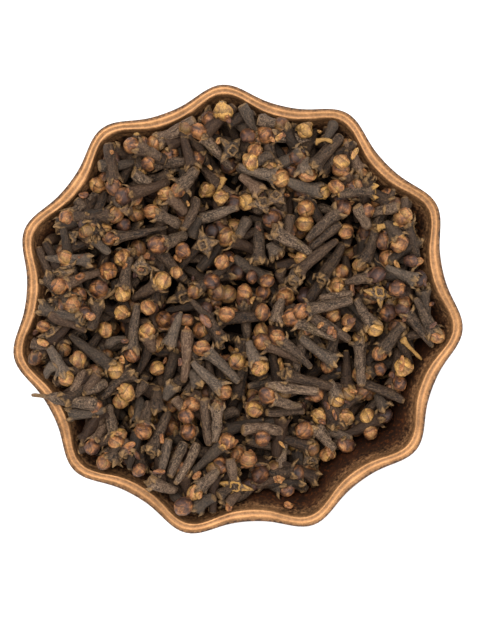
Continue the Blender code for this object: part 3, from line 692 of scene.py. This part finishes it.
def plain_material(name, code, roughness, specular=0.5):
    """One even colour, for what should draw no look: the paper, and the painted shade under the cloves."""
    made, _, shader = new_material(name)
    shader.inputs["Specular IOR Level"].default_value = specular
    shader.inputs["Base Color"].default_value = linear(code)
    shader.inputs["Roughness"].default_value = roughness
    return made


def deselect():
    """Leave nothing selected."""
    bpy.ops.object.select_all(action="DESELECT")


def lobe(settings, angle):
    """How far the lobes stand out at an angle, in millimetres at the rim."""
    turn = angle - settings.first_tip
    wave = settings.lobe_height * np.cos(settings.lobes * turn)
    return (wave + settings.lobe_point * np.cos(2 * settings.lobes * turn)) / MM


def lobe_share(settings, z):
    """How far the lobes have grown at a height in millimetres."""
    start, full = settings.lobe_start / MM, settings.lobe_full / MM
    return np.clip((z - start) / (full - start), 0.0, 1.0)


def inner_radius(settings, z, angle):
    """Radius of the inside of the wall at a height and angle, in millimetres."""
    heights = [point[1] for point in INNER_WALL]
    radii = [point[0] for point in INNER_WALL]
    out = settings.inside_lobe * lobe_share(settings, z) * lobe(settings, angle)
    return np.interp(z, heights, radii) + out


def spun(name, points, steps):
    """Extrude a profile point by point and spin it once round Z."""
    deselect()
    bpy.ops.mesh.primitive_plane_add(size=MM, location=(0.0, 0.0, 0.0))
    piece = bpy.context.object
    piece.name = name
    piece.data.name = name
    bpy.ops.object.mode_set(mode="EDIT")
    bpy.ops.mesh.select_all(action="SELECT")
    bpy.ops.mesh.merge(type="CENTER")
    bpy.ops.transform.translate(value=(points[0][0] * MM, 0.0, points[0][1] * MM))
    for before, after in zip(points, points[1:]):
        step = ((after[0] - before[0]) * MM, 0.0, (after[1] - before[1]) * MM)
        bpy.ops.mesh.extrude_region_move(TRANSFORM_OT_translate={"value": step})
    bpy.ops.mesh.select_all(action="SELECT")
    bpy.ops.mesh.spin(
        steps=steps, angle=2.0 * math.pi, center=(0.0, 0.0, 0.0), axis=(0.0, 0.0, 1.0)
    )
    bpy.ops.mesh.select_all(action="SELECT")
    bpy.ops.mesh.remove_doubles(threshold=0.00001)
    bpy.ops.mesh.normals_make_consistent(inside=False)
    bpy.ops.object.mode_set(mode="OBJECT")
    bpy.ops.object.shade_smooth()
    return piece


class OBJECT_OT_copper_bowl(Operator):
    """Spin the copper bowl from its profile and push its wall out to the lobes"""

    bl_idname = "object.copper_bowl"
    bl_label = "Copper Bowl"
    bl_options = {"REGISTER", "UNDO"}

    def execute(self, context):
        settings = context.scene.copper_bowl
        bowl = spun("bowl_copper", BOWL_PROFILE, settings.lobes * settings.steps_per_lobe)
        mesh = bowl.data
        traits = {(round(p[0], 2), round(p[1], 2)): p[2:] for p in BOWL_PROFILE}
        # The rubbed share holds wear and, in part, painted light and shade.
        rubbed = mesh.attributes.new("rubbed", "FLOAT", "POINT")
        for vertex in mesh.vertices:
            x, y, z = vertex.co / MM
            radius = math.hypot(x, y)
            inside, wear = traits[(round(radius, 2), round(z, 2))]
            rubbed.data[vertex.index].value = wear
            if radius < 0.01:
                continue
            angle = math.atan2(y, x) + settings.first_tip
            deeper = 1.0 + (settings.inside_lobe - 1.0) * inside
            radius += deeper * lobe(settings, angle) * lobe_share(settings, z)
            vertex.co = Vector((radius * math.cos(angle), radius * math.sin(angle), z)) * MM
        mesh.materials.append(copper_material(settings))
        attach(bowl, "root")
        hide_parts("bowl")
        return {"FINISHED"}


def model_clove(name, looks):
    """Model one clove from its tail, ring by ring, and draw its sepals out of the collar."""
    rings, collar, sepals, bud_from = MODELS[name]
    deselect()
    height, radius = rings[0]
    bpy.ops.mesh.primitive_circle_add(
        vertices=MODEL_SIDES, radius=radius * MM, fill_type="NGON", location=(0.0, 0.0, height * MM)
    )
    piece = bpy.context.object
    piece.name = "model " + name
    bpy.ops.object.mode_set(mode="EDIT")
    for before, after in zip(rings, rings[1:]):
        bpy.ops.mesh.extrude_region_move(
            TRANSFORM_OT_translate={"value": (0.0, 0.0, (after[0] - before[0]) * MM)}
        )
        share = after[1] / before[1]
        bpy.ops.transform.resize(value=(share, share, 1.0), center_override=(0.0, 0.0, after[0] * MM))
    bpy.ops.mesh.select_all(action="SELECT")
    bpy.ops.mesh.normals_make_consistent(inside=False)
    if sepals:
        for quarter in range(4):
            draw_out_sepal(piece.data, collar, quarter * math.pi / 2.0, sepals)
    if name == "torn":
        ruffle_top(piece.data, rings)
    if rings[-len(SQUARE_RING):] == SQUARE_RING:
        square_mouth(piece.data)
    bpy.ops.object.mode_set(mode="OBJECT")
    for polygon in piece.data.polygons:
        middle = polygon.center / MM
        inside = math.hypot(middle.x, middle.y) < bud_reach(rings, middle.z)
        bud = middle.z > bud_from and (inside or not sepals)
        polygon.material_index = 1 if bud else 0
    bpy.ops.object.shade_smooth()
    for look in looks:
        piece.data.materials.append(look)
    mark_clove(piece.data, name)
    return piece


def bud_reach(rings, height):
    """Radius inside which a face at a height belongs to the body and not to a sepal."""
    return float(np.interp(height, [r[0] for r in rings], [r[1] for r in rings])) + 0.06


def select_faces(mesh, wanted):
    """Select the faces for which wanted(centre in millimetres, normal) holds, and no others."""
    work = bmesh.from_edit_mesh(mesh)
    for face in work.faces:
        face.select_set(False)
    found = [face for face in work.faces if wanted(face.calc_center_median() / MM, face.normal)]
    for face in found:
        face.select_set(True)
    work.select_flush_mode()
    bmesh.update_edit_mesh(mesh)
    if not found:
        raise RuntimeError("no face to select")
    middle = sum((face.calc_center_median() for face in found), Vector()) / len(found)
    return middle


def draw_out_sepal(mesh, collar, turn, sepals):
    """Extrude the two collar faces on one side twice, out and up, and narrow the tip."""
    out, up, curl_out, curl_up, tip = sepals
    ahead = Vector((math.cos(turn), math.sin(turn), 0.0))

    def on_collar(centre, normal):
        side = Vector((centre.x, centre.y, 0.0)).normalized()
        return abs(centre.z - collar) < 0.35 and side.dot(ahead) > math.cos(math.radians(20.0))

    middle = select_faces(mesh, on_collar)
    for outward, upward, size in ((out, up, 0.74), (curl_out, curl_up, tip)):
        step = (ahead * outward + Vector((0.0, 0.0, upward))) * MM
        bpy.ops.mesh.extrude_region_move(TRANSFORM_OT_translate={"value": step})
        middle += step
        bpy.ops.transform.resize(value=(size, size, size), center_override=middle)


def ruffle_top(mesh, rings):
    """Draw the faces round the open top of a torn bud out into ragged petal ends."""
    top = rings[5][0]

    def on_petal(centre, normal):
        middle_of_petal = math.cos(4.0 * math.atan2(centre.y, centre.x)) > 0.2
        return abs(centre.z - top) < 0.5 and normal.z > 0.1 and middle_of_petal

    select_faces(mesh, on_petal)
    bpy.ops.mesh.extrude_faces_move(TRANSFORM_OT_shrink_fatten={"value": 0.4 * MM})


def square_mouth(mesh):
    """Draw the ring round the open top in at the sepals, which leaves it square."""
    for turn in (0.0, math.pi / 2.0, math.pi, -math.pi / 2.0):
        ahead = Vector((math.cos(turn), math.sin(turn), 0.0))
        work = bmesh.from_edit_mesh(mesh)
        for vertex in work.verts:
            x, y, z = vertex.co / MM
            vertex.select_set(z > MOUTH_FROM and x * ahead.x + y * ahead.y > 0.9 * math.hypot(x, y) > 0.9)
        work.select_flush_mode()
        bmesh.update_edit_mesh(mesh)
        narrowed = (1.0 - MOUTH_SHARE * abs(ahead.x), 1.0 - MOUTH_SHARE * abs(ahead.y), 1.0)
        bpy.ops.transform.resize(value=narrowed, center_override=(0.0, 0.0, 0.0))


def mark_clove(mesh, name):
    """Write a clove's own coordinates and worn edges, which its looks read."""
    count = len(mesh.vertices)
    places = np.empty(count * 3, np.float32)
    mesh.vertices.foreach_get("co", places)
    places = places.reshape(count, 3) / MM
    x, y, z = places.T
    radius = np.hypot(x, y)
    if name == "flake":
        places[:, :2] += SEAMLESS
    grain = mesh.attributes.new("grain", "FLOAT_VECTOR", "POINT")
    grain.data.foreach_set("vector", places.ravel())
    turn = np.arctan2(y, x)
    from_middle = np.abs(radius * np.sin(turn - np.round(turn / (math.pi / 2.0)) * math.pi / 2.0))
    edge = np.clip((radius - 2.5) / 0.7, 0.0, 1.0) * 0.35
    edge = np.maximum(edge, np.clip((radius - 2.2) / 0.3, 0.0, 1.0) * np.clip(from_middle / 0.4, 0.0, 1.0))
    edge = np.maximum(edge, np.clip((0.45 - z) / 0.4, 0.0, 1.0) * 0.6)
    if name in ("star", "cup", "star up"):
        edge = np.maximum(edge, np.clip((z - 11.2) / 0.25, 0.0, 1.0) * 0.9)
    if name == "stalk":
        edge = np.full(count, 0.75)
    if name == "stub":
        edge = np.maximum(edge, np.clip((z - 7.6) / 0.3, 0.0, 1.0) * 0.7)
    if name == "stalked":
        edge = np.maximum(edge, np.clip((5.0 - z) / 2.0, 0.0, 1.0) * 0.5)
    if name in ("bud", "torn", "flake"):
        edge = np.zeros(count)
    mesh.attributes.new("edge", "FLOAT", "POINT").data.foreach_set("value", edge.astype(np.float32))
    mesh.attributes.new("tone", "FLOAT_VECTOR", "POINT")


class Field:
    """Heights of what lies in the bowl so far, on a grid of square cells, in millimetres."""

    def __init__(self, bowl, heap):
        self.bowl = bowl
        self.heap = heap
        line = np.arange(-FIELD_HALF, FIELD_HALF + CELL / 2.0, CELL)
        self.x, self.y = np.meshgrid(line, line, indexing="ij")
        radius = np.hypot(self.x, self.y)
        angle = np.arctan2(self.y, self.x)
        self.height = self.top(self.x, self.y) - heap.bed_depth / MM
        step = 0.5
        wall = np.full_like(radius, FLOOR_Z)
        for z in np.arange(FLOOR_Z, RIM_Z + RIM_GAP, step):
            wall[radius > inner_radius(bowl, z, angle) - WALL_MARGIN] = z + step
        self.height = np.maximum(self.height, wall)
        self.height[radius > OUTER_RIM + lobe(bowl, angle) + WALL_MARGIN] = 0.0

    def top(self, x, y):
        """Height of the cloves' upper surface over a point."""
        heap = self.heap
        radius = np.hypot(x, y)
        away = np.arctan2(y, x) - heap.hollow_turn
        away = (away + math.pi) % (2.0 * math.pi) - math.pi
        near_wall = np.clip((radius - HOLLOW_FROM) / HOLLOW_GROWS, 0.0, 1.0)
        hollow = heap.hollow / MM * near_wall * np.exp(-((away / heap.hollow_half) ** 2))
        return (heap.dome - heap.dome_drop * (radius / DOME_RADIUS) ** DOME_POWER) / MM - hollow

    def footprint(self, piece, slope):
        """Cells under a clove, with its half height and the rise of its axis over each."""
        reach = piece["length"] / 2.0 + CLOVE_REACH
        low_i = max(int((piece["x"] - reach + FIELD_HALF) / CELL), 0)
        high_i = int((piece["x"] + reach + FIELD_HALF) / CELL) + 1
        low_j = max(int((piece["y"] - reach + FIELD_HALF) / CELL), 0)
        high_j = int((piece["y"] + reach + FIELD_HALF) / CELL) + 1
        cells = slice(low_i, high_i), slice(low_j, high_j)
        dx = self.x[cells] - piece["x"]
        dy = self.y[cells] - piece["y"]
        along = dx * math.cos(piece["heading"]) + dy * math.sin(piece["heading"])
        across = dy * math.cos(piece["heading"]) - dx * math.sin(piece["heading"])
        run = math.hypot(1.0, slope)
        line = KINDS[piece["kind"]][0]
        share = along * run / piece["length"] + 0.5
        radius = np.interp(share, [p[0] for p in line], [p[1] for p in line], 0.0, 0.0)
        covered = np.abs(across) < radius
        half = np.sqrt(np.maximum(radius**2 - across**2, 0.0)) * run
        return cells, covered, half, along * slope

    def rest(self, piece, slopes=SLOPES):
        """Let a clove down until it touches, at the slope that leaves its middle lowest."""
        best = None
        for slope in slopes:
            cells, covered, half, rise = self.footprint(piece, slope)
            if not covered.any():
                continue
            contact = (self.height[cells] + half - rise)[covered]
            rank = int(TOUCHING * (len(contact) - 1))
            z = float(np.partition(contact, rank)[rank])
            if best is None or z < best:
                best = z
                piece["slope"] = slope
        piece["z"] = min(best - self.heap.sink / MM, self.ceiling(piece))
        return piece

    def ceiling(self, piece):
        """The highest a clove's middle may lie, lower under one of the free spaces."""
        run = math.hypot(1.0, piece["slope"])
        highest = HIGHEST - piece["length"] / 2.0 * abs(piece["slope"]) / run
        for along in np.linspace(-0.5, 0.5, STATIONS) * piece["length"] / run:
            x = piece["x"] + along * math.cos(piece["heading"])
            y = piece["y"] + along * math.sin(piece["heading"])
            for low_x, low_y, high_x, high_y, start in FREE_SPACES:
                if low_x < x < high_x and low_y < y < high_y:
                    highest = min(highest, start - HALF_CLOVE - along * piece["slope"])
        return highest

    def lay_flat(self, piece):
        """Lay a petal on the heights under it, tilted as they are."""
        near = np.hypot(self.x - piece["x"], self.y - piece["y"]) < PETAL_REACH
        across = self.x[near] - piece["x"], self.y[near] - piece["y"], np.ones(near.sum())
        rise_x, rise_y, level = np.linalg.lstsq(np.column_stack(across), self.height[near], rcond=None)[0]
        steep = min(max(math.hypot(rise_x, rise_y), 0.01), STEEPEST_PETAL)
        piece["heading"] = math.atan2(-rise_y, -rise_x)
        piece["slope"] = 1.0 / steep
        piece["z"] = level + piece["length"] / 2.0

    def cover(self, piece):
        """Raise the cells that a laid clove covers to its upper side."""
        cells, covered, half, rise = self.footprint(piece, piece["slope"])
        top = piece["z"] + rise + half
        here = self.height[cells]
        here[covered] = np.maximum(here, top)[covered]


def clove_frame(piece):
    """Matrix that lays a clove, made standing on its tail, in its resting place."""
    run = math.hypot(1.0, piece["slope"])
    ahead = math.cos(piece["heading"]) / run
    aside = math.sin(piece["heading"]) / run
    direction = Vector((ahead, aside, piece["slope"] / run))
    turn = direction.to_track_quat("Z", "Y").to_matrix().to_4x4()
    middle = Matrix.Translation((piece["x"], piece["y"], piece["z"]))
    down = Matrix.Translation((0.0, 0.0, -piece["length"] / 2.0))
    return middle @ turn @ Matrix.Rotation(piece["roll"], 4, "Z") @ down


def clear_of_bowl(bowl, piece):
    """Whether a laid clove keeps its gap to the wall."""
    line = KINDS[piece["kind"]][0]
    place = clove_frame(piece)
    for share in np.linspace(0.0, 1.0, STATIONS):
        radius = THICKER * float(np.interp(share, *zip(*line)))
        for side in range(SIDES):
            turn = 2.0 * math.pi * side / SIDES
            corner = (radius * math.cos(turn), radius * math.sin(turn), share * piece["length"])
            x, y, z = place @ Vector(corner)
            if math.hypot(x, y) > inner_radius(bowl, z, math.atan2(y, x)) - VERTEX_GAP:
                return False
    return True


def laid(field, piece, x, y, heading, slopes=SLOPES):
    """A clove let down at a point, moved inward while it would cross the wall, or None."""
    piece = dict(piece, x=x, y=y, heading=heading)
    for _ in range(INWARD_STEPS):
        field.rest(piece, slopes)
        if clear_of_bowl(field.bowl, piece):
            return piece
        radius = math.hypot(piece["x"], piece["y"])
        inward = max(radius - INWARD_STEP, 0.1) / max(radius, 0.1)
        piece["x"] *= inward
        piece["y"] *= inward
    return None


def drawn_place(draw, field, along_wall):
    """A radius and angle drawn evenly over the bowl, or along the wall away from the low side."""
    angle = draw.uniform(-math.pi, math.pi)
    if not along_wall:
        return SPREAD_RADIUS * math.sqrt(draw.random()), angle
    low_side = field.heap.hollow_turn
    angle = low_side + math.pi + draw.uniform(-1.0, 1.0) * (math.pi - LOW_SIDE_HALF)
    return float(inner_radius(field.bowl, WALL_ROW_Z, angle)) - draw.uniform(*WALL_ROW), angle


def best_place(draw, field, piece, along_wall=False):
    """The drawn place where a clove comes to lie deepest under the heap's top, or None."""
    best = None
    for _ in range(field.heap.tries):
        radius, angle = drawn_place(draw, field, along_wall)
        heading = draw.uniform(-math.pi, math.pi)
        found = laid(field, piece, radius * math.cos(angle), radius * math.sin(angle), heading)
        if found is None:
            continue
        end = abs(found["slope"]) * found["length"] / 4.0
        found["over"] = found["z"] + end - float(field.top(found["x"], found["y"]))
        if math.hypot(found["x"], found["y"]) > EDGE_FROM:
            found["over"] -= EDGE_FAVOUR
        if best is None or found["over"] < best["over"]:
            best = found
    return best


def new_clove(draw, heap, kind):
    """A clove of a kind with its own model, length, bow, roll and tone, not laid yet."""
    low, high = KINDS[kind][1]
    models = [name for name, share in KINDS[kind][2] for _ in range(share)]
    straight = kind in ("ball", "stalked", "flake")
    return {
        "kind": kind,
        "model": draw.choice(models),
        "length": draw.uniform(low, high),
        "girth": draw.uniform(0.90, 1.08),
        "bow": 0.0 if straight else draw.uniform(-1.0, 1.0) * heap.bow / MM,
        "roll": draw.uniform(0.0, 2.0 * math.pi),
        "tone": (draw.random(), draw.random(), draw.betavariate(1.7, 2.1)),
        "number": draw.randrange(1000000),
    }


def kind_of(model):
    """The kind that a model belongs to."""
    for kind, traits in KINDS.items():
        if model in [name for name, _ in traits[2]]:
            return kind
    raise KeyError(model)


def in_bowl(x, y):
    """A place read in the picture, as millimetres from the bowl's middle."""
    right = (x - READ_MIDDLE[0]) * READ_SCALE
    back = (READ_MIDDLE[1] - y) * READ_SCALE
    return round(right, READ_DIGITS), round(back, READ_DIGITS)


def top_clove(draw, field, row):
    """A clove that lies on top where the row says, let down on those below, or None."""
    model, *read, hue = row
    head_x, head_y = in_bowl(*read[:2])
    tail_x, tail_y = in_bowl(*read[-2:])
    if model == "bud" and draw.random() < HOODED_SHARE:
        model = "bud up"
    piece = new_clove(draw, field.heap, kind_of(model))
    piece["model"] = model
    piece["tone"] = (piece["tone"][0], piece["tone"][1], hue)
    heading = math.atan2(head_y - tail_y, head_x - tail_x)
    slopes = FACING_SLOPES if piece["kind"] == "facing" else TOP_SLOPES
    if piece["kind"] in ("facing", "ball"):
        if (head_x, head_y) == (tail_x, tail_y):
            heading = draw.uniform(-math.pi, math.pi)
        tail_x, tail_y = head_x, head_y
    else:
        rings = MODELS[model][0]
        head_end = rings[-1][0] - rings[-5][0] if piece["kind"] == "whole" else 0.0
        length = math.hypot(head_x - tail_x, head_y - tail_y) + head_end
        piece["length"] = min(max(length, TOP_LENGTHS[0]), TOP_LENGTHS[1])
        tail_x, tail_y = head_x - math.cos(heading) * length, head_y - math.sin(heading) * length
        tail_x += math.cos(heading) * head_end
        tail_y += math.sin(heading) * head_end
        head_x += math.cos(heading) * head_end
        head_y += math.sin(heading) * head_end
    if piece["kind"] == "ball":
        piece["girth"] *= draw.uniform(*BALL_SIZES)
        piece["length"] *= piece["girth"]
    found = laid(field, piece, (head_x + tail_x) / 2.0, (head_y + tail_y) / 2.0, heading, slopes)
    if found and piece["kind"] == "facing":
        found["z"] -= FACING_SINK
    return found


def lay_cloves(bowl, heap):
    """Lay the cloves one by one: by the rule, along the wall, across the rim, then those on top.

    Fallen petals come last.
    """
    draw = random.Random(heap.seed)
    field = Field(bowl, heap)
    kinds = []
    for kind, traits in KINDS.items():
        kinds += [kind] * round(traits[3] * heap.count)
    draw.shuffle(kinds)
    pieces = []
    places = [(kind, False) for kind in kinds] + [(kind, True) for kind in kinds[: heap.wall_count]]
    for kind, along_wall in places:
        found = best_place(draw, field, new_clove(draw, heap, kind), along_wall)
        if found is not None:
            # The cloves laid by the rule lie below those on top and get painted shade: a darker tone.
            found["tone"] = (found["tone"][0] * BELOW_PAINTED_SHADE + DARKEST_PAINTED_SHADE, *found["tone"][1:])
            field.cover(found)
            pieces.append(found)
    across = new_clove(draw, heap, "stalked")
    x, y, heading = RIM_CLOVE
    across.update(x=x, y=y, heading=math.radians(heading))
    pieces.append(field.rest(across, FLAT_SLOPES))
    field.cover(across)
    for row in TOP_CLOVES:
        found = top_clove(draw, field, row)
        if found is not None:
            field.cover(found)
            pieces.append(found)
    for _ in range(heap.flakes):
        found = fallen_petal(draw, field)
        if found is not None:
            pieces.append(found)
    return pieces


def fallen_petal(draw, field):
    """A loose petal lying where it falls, or None if it would touch the wall."""
    piece = new_clove(draw, field.heap, "flake")
    radius = SPREAD_RADIUS * math.sqrt(draw.random())
    turn = draw.uniform(-math.pi, math.pi)
    piece.update(x=radius * math.cos(turn), y=radius * math.sin(turn), girth=draw.uniform(0.45, 1.1))
    field.lay_flat(piece)
    return piece if clear_of_bowl(field.bowl, piece) else None


def uneven(places, piece):
    """Shape a clove's points, in millimetres and standing on its tail, as one that grew."""
    draw = np.random.default_rng(piece["number"])
    rings = MODELS[piece["model"]][0]
    full = rings[-1][0]
    z = places[:, 2].copy()
    if MODELS[piece["model"]][1]:
        stretch = max(piece["length"] - full + STEM_END, 1.0) / STEM_END
        places[:, 2] = np.where(z < STEM_END, z * stretch, z - full + piece["length"])
    else:
        places[:, 2] = z * piece["length"] / full
    radius = np.hypot(places[:, 0], places[:, 1])
    turn = np.arctan2(places[:, 1], places[:, 0])
    loose = piece["kind"] in ("ball", "flake")
    stem = np.clip((STEM_END + 1.0 - z) / 2.0, 0.0, 1.0) if not loose else 0.3
    thin = draw.uniform(0.0, THINNEST_TAIL) * np.clip(1.0 - z / TAIL_REACH, 0.0, 1.0) ** 1.5 * (not loose)
    swell = 1.0 + stem * 0.09 * np.sin(z * draw.uniform(0.7, 1.5) + draw.uniform(0.0, 6.3))
    swell += stem * 0.07 * np.cos(2.0 * (turn - draw.uniform(0.0, 3.1)) + z * draw.uniform(-0.15, 0.15))
    swell += 0.04 * np.cos(4.0 * turn) * stem
    bud = np.clip((z - STEM_END - 2.0) / 0.6, 0.0, 1.0) if not loose else 1.0
    petal = ((turn + PETAL_TWIST * z) * 2.0 / math.pi) % 1.0
    swell += bud * (radius < 2.5) * draw.uniform(0.06, 0.18) * (petal - 0.5)
    if piece["kind"] == "flake":
        places[:, 2] += draw.uniform(0.1, 0.35) * places[:, 0] ** 2
        places[:, 0] *= draw.uniform(1.0, 1.7)
        places[:, 1] *= draw.uniform(0.45, 0.9)
    quarter = np.round(turn / (math.pi / 2.0)).astype(int) % 4
    reach = np.clip((radius - 2.15) / 1.4, 0.0, 1.0) * (not loose)
    swell += reach * draw.uniform(-0.22, 0.16, 4)[quarter]
    places[:, 2] += reach * draw.uniform(-0.5, 0.5, 4)[quarter]
    places[:, 0] *= swell * piece["girth"] * (1.0 + bud * draw.uniform(-0.08, 0.08))
    places[:, 1] *= swell * piece["girth"] * (1.0 + bud * draw.uniform(-0.08, 0.08))
    places[:, :2] *= (1.0 - thin)[:, None] if not loose else 1.0
    places += draw.normal(0.0, 0.05, places.shape)
    along = np.clip(places[:, 2] / piece["length"], 0.0, 1.0)
    places[:, 0] += piece["bow"] * 4.0 * along * (1.0 - along)
    places[:, 1] += draw.uniform(-0.25, 0.25) * np.sin(2.0 * math.pi * along)
    return places


def copy_clove(model, piece):
    """A copy of a model with its own mesh, made uneven and laid in its place."""
    made = model.copy()
    made.data = model.data.copy()
    bpy.context.collection.objects.link(made)
    mesh = made.data
    count = len(mesh.vertices)
    places = np.empty(count * 3, np.float32)
    mesh.vertices.foreach_get("co", places)
    places = uneven(places.reshape(count, 3).astype(float) / MM, piece)
    place = np.array(clove_frame(piece))
    places = places @ place[:3, :3].T + place[:3, 3]
    mesh.vertices.foreach_set("co", (places * MM).astype(np.float32).ravel())
    # The tone is a clove's own brightness, warmth and hue; for the cloves below, the brightness also holds
    # their painted shade.
    tone = np.tile(np.array(piece["tone"], np.float32), count)
    mesh.attributes["tone"].data.foreach_set("vector", tone)
    return made


def heap_shade_bed(bowl, heap, field):
    """The dark bed under the cloves, painted shade for the gaps between them: a spun disc and side, moved to
    the inside of the bowl.
    """
    profile = [(0.0, 1.0), (0.3, 1.0), (0.55, 1.0), (0.78, 1.0), (1.0, 1.0)]
    profile += [(1.0, 0.5), (1.0, 0.1), (1.0, 0.0), (0.0, 0.0)]
    shade_bed = spun("heap_shade_bed", profile, bowl.lobes * 8)
    depth = heap.bed_depth / MM
    for vertex in shade_bed.data.vertices:
        x, y, level = vertex.co / MM
        share = math.hypot(x, y)
        angle = math.atan2(y, x) + bowl.first_tip
        rim = BED_FIRST_RADIUS
        for _ in range(BED_ROUNDS):
            edge = float(field.top(rim * math.cos(angle), rim * math.sin(angle))) - depth
            rim = float(inner_radius(bowl, edge, angle)) - BED_GAP
        z = BED_FLOOR + level * (edge - BED_FLOOR)
        radius = share * (float(inner_radius(bowl, z, angle)) - BED_GAP)
        if level > 0.99:
            z = float(field.top(radius * math.cos(angle), radius * math.sin(angle))) - depth
        vertex.co = Vector((radius * math.cos(angle), radius * math.sin(angle), z)) * MM
    # Its near-black colour is painted shade.
    shade_bed.data.materials.append(plain_material("dark bed, painted shade under the cloves", heap.shade_bed, 0.9, 0.05))
    return shade_bed


class OBJECT_OT_clove_heap(Operator):
    """Model each kind of clove once, lay copies in the bowl and join them by kind"""

    bl_idname = "object.clove_heap"
    bl_label = "Clove Heap"
    bl_options = {"REGISTER", "UNDO"}

    def execute(self, context):
        bowl = context.scene.copper_bowl
        heap = context.scene.clove_heap
        looks = [stem_material(heap), bud_material(heap)]
        models = {name: model_clove(name, looks) for name in MODELS}
        field = Field(bowl, heap)
        shade_bed = heap_shade_bed(bowl, heap, field)
        laid_pieces = lay_cloves(bowl, heap)
        made = [shade_bed]
        for name, held in HEAP_PIECES.items():
            copies = [copy_clove(models[p["model"]], p) for p in laid_pieces if p["model"] in held]
            if not copies:
                raise RuntimeError("no cloves of the kind " + name)
            deselect()
            for copy in copies:
                copy.select_set(True)
            context.view_layer.objects.active = copies[0]
            bpy.ops.object.join()
            context.object.name = name
            context.object.data.name = name
            made.append(context.object)
        for model in models.values():
            bpy.data.objects.remove(model)
        for piece in made:
            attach(piece, "root")
            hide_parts("cloves")
        return {"FINISHED"}


class OBJECT_OT_clove_stage(Operator):
    """Add the pale floor, the soft light and the camera that looks straight down"""

    bl_idname = "object.clove_stage"
    bl_label = "Clove Stage"
    bl_options = {"REGISTER", "UNDO"}

    def execute(self, context):
        settings = context.scene.clove_stage
        deselect()
        bpy.ops.mesh.primitive_plane_add(size=settings.floor_size, location=(0.0, 0.0, 0.0))
        floor = context.object
        floor.name = "floor"
        floor.data.materials.append(plain_material("paper sweep, matt", settings.floor, 0.9))
        for name, share, size, place in SOFTBOXES:
            add_softbox(name, settings.key * share, size, place)
        world = bpy.data.worlds.new("studio")
        world.use_nodes = True
        sky = world.node_tree.nodes["Background"]
        sky.inputs["Color"].default_value = (1.0, 1.0, 1.0, 1.0)
        sky.inputs["Strength"].default_value = settings.sky
        context.scene.world = world
        context.scene.view_settings.view_transform = "Standard"
        width, height = settings.picture_px
        distance = height * settings.scale * settings.lens / SENSOR
        x = (width / 2.0 - settings.bowl_px[0]) * settings.scale
        y = (settings.bowl_px[1] - height / 2.0) * settings.scale
        bpy.ops.object.camera_add(location=(x, y, RIM_Z * MM + distance), rotation=(0.0, 0.0, 0.0))
        camera = context.object
        camera.name = "camera"
        camera.data.lens = settings.lens
        camera.data.sensor_width = SENSOR
        camera.data.clip_start = 0.01
        context.scene.camera = camera
        return {"FINISHED"}


def add_softbox(name, power, size, place):
    """A square area light turned to the bowl."""
    bpy.ops.object.light_add(type="AREA", location=place)
    light = bpy.context.object
    light.name = name
    light.data.energy = power
    light.data.size = size
    aim = Vector((0.0, 0.0, RIM_Z * MM)) - Vector(place)
    light.rotation_euler = aim.to_track_quat("-Z", "Y").to_euler()


class VIEW3D_PT_clove_bowl(Panel):
    """Buttons and settings of the bowl of cloves"""

    bl_label = "Bowl of Whole Cloves"
    bl_space_type = "VIEW_3D"
    bl_region_type = "UI"
    bl_category = "Cloves"

    def draw(self, context):
        scene = context.scene
        groups = (
            ("object.copper_bowl", scene.copper_bowl),
            ("object.clove_heap", scene.clove_heap),
            ("object.clove_stage", scene.clove_stage),
        )
        for operator, settings in groups:
            box = self.layout.box()
            for name in type(settings).__annotations__:
                box.prop(settings, name)
            box.operator(operator)


CLASSES = (
    CopperBowlSettings,
    CloveHeapSettings,
    CloveStageSettings,
    OBJECT_OT_copper_bowl,
    OBJECT_OT_clove_heap,
    OBJECT_OT_clove_stage,
    VIEW3D_PT_clove_bowl,
)


def register():
    for cls in CLASSES:
        bpy.utils.register_class(cls)
    bpy.types.Scene.copper_bowl = PointerProperty(type=CopperBowlSettings)
    bpy.types.Scene.clove_heap = PointerProperty(type=CloveHeapSettings)
    bpy.types.Scene.clove_stage = PointerProperty(type=CloveStageSettings)


def unregister():
    del bpy.types.Scene.clove_stage
    del bpy.types.Scene.clove_heap
    del bpy.types.Scene.copper_bowl
    for cls in reversed(CLASSES):
        bpy.utils.unregister_class(cls)


def main():
    register()
    bpy.ops.object.copper_bowl()
    bpy.ops.object.clove_heap()
    bpy.ops.object.clove_stage()


if __name__ == "__main__":
    main()
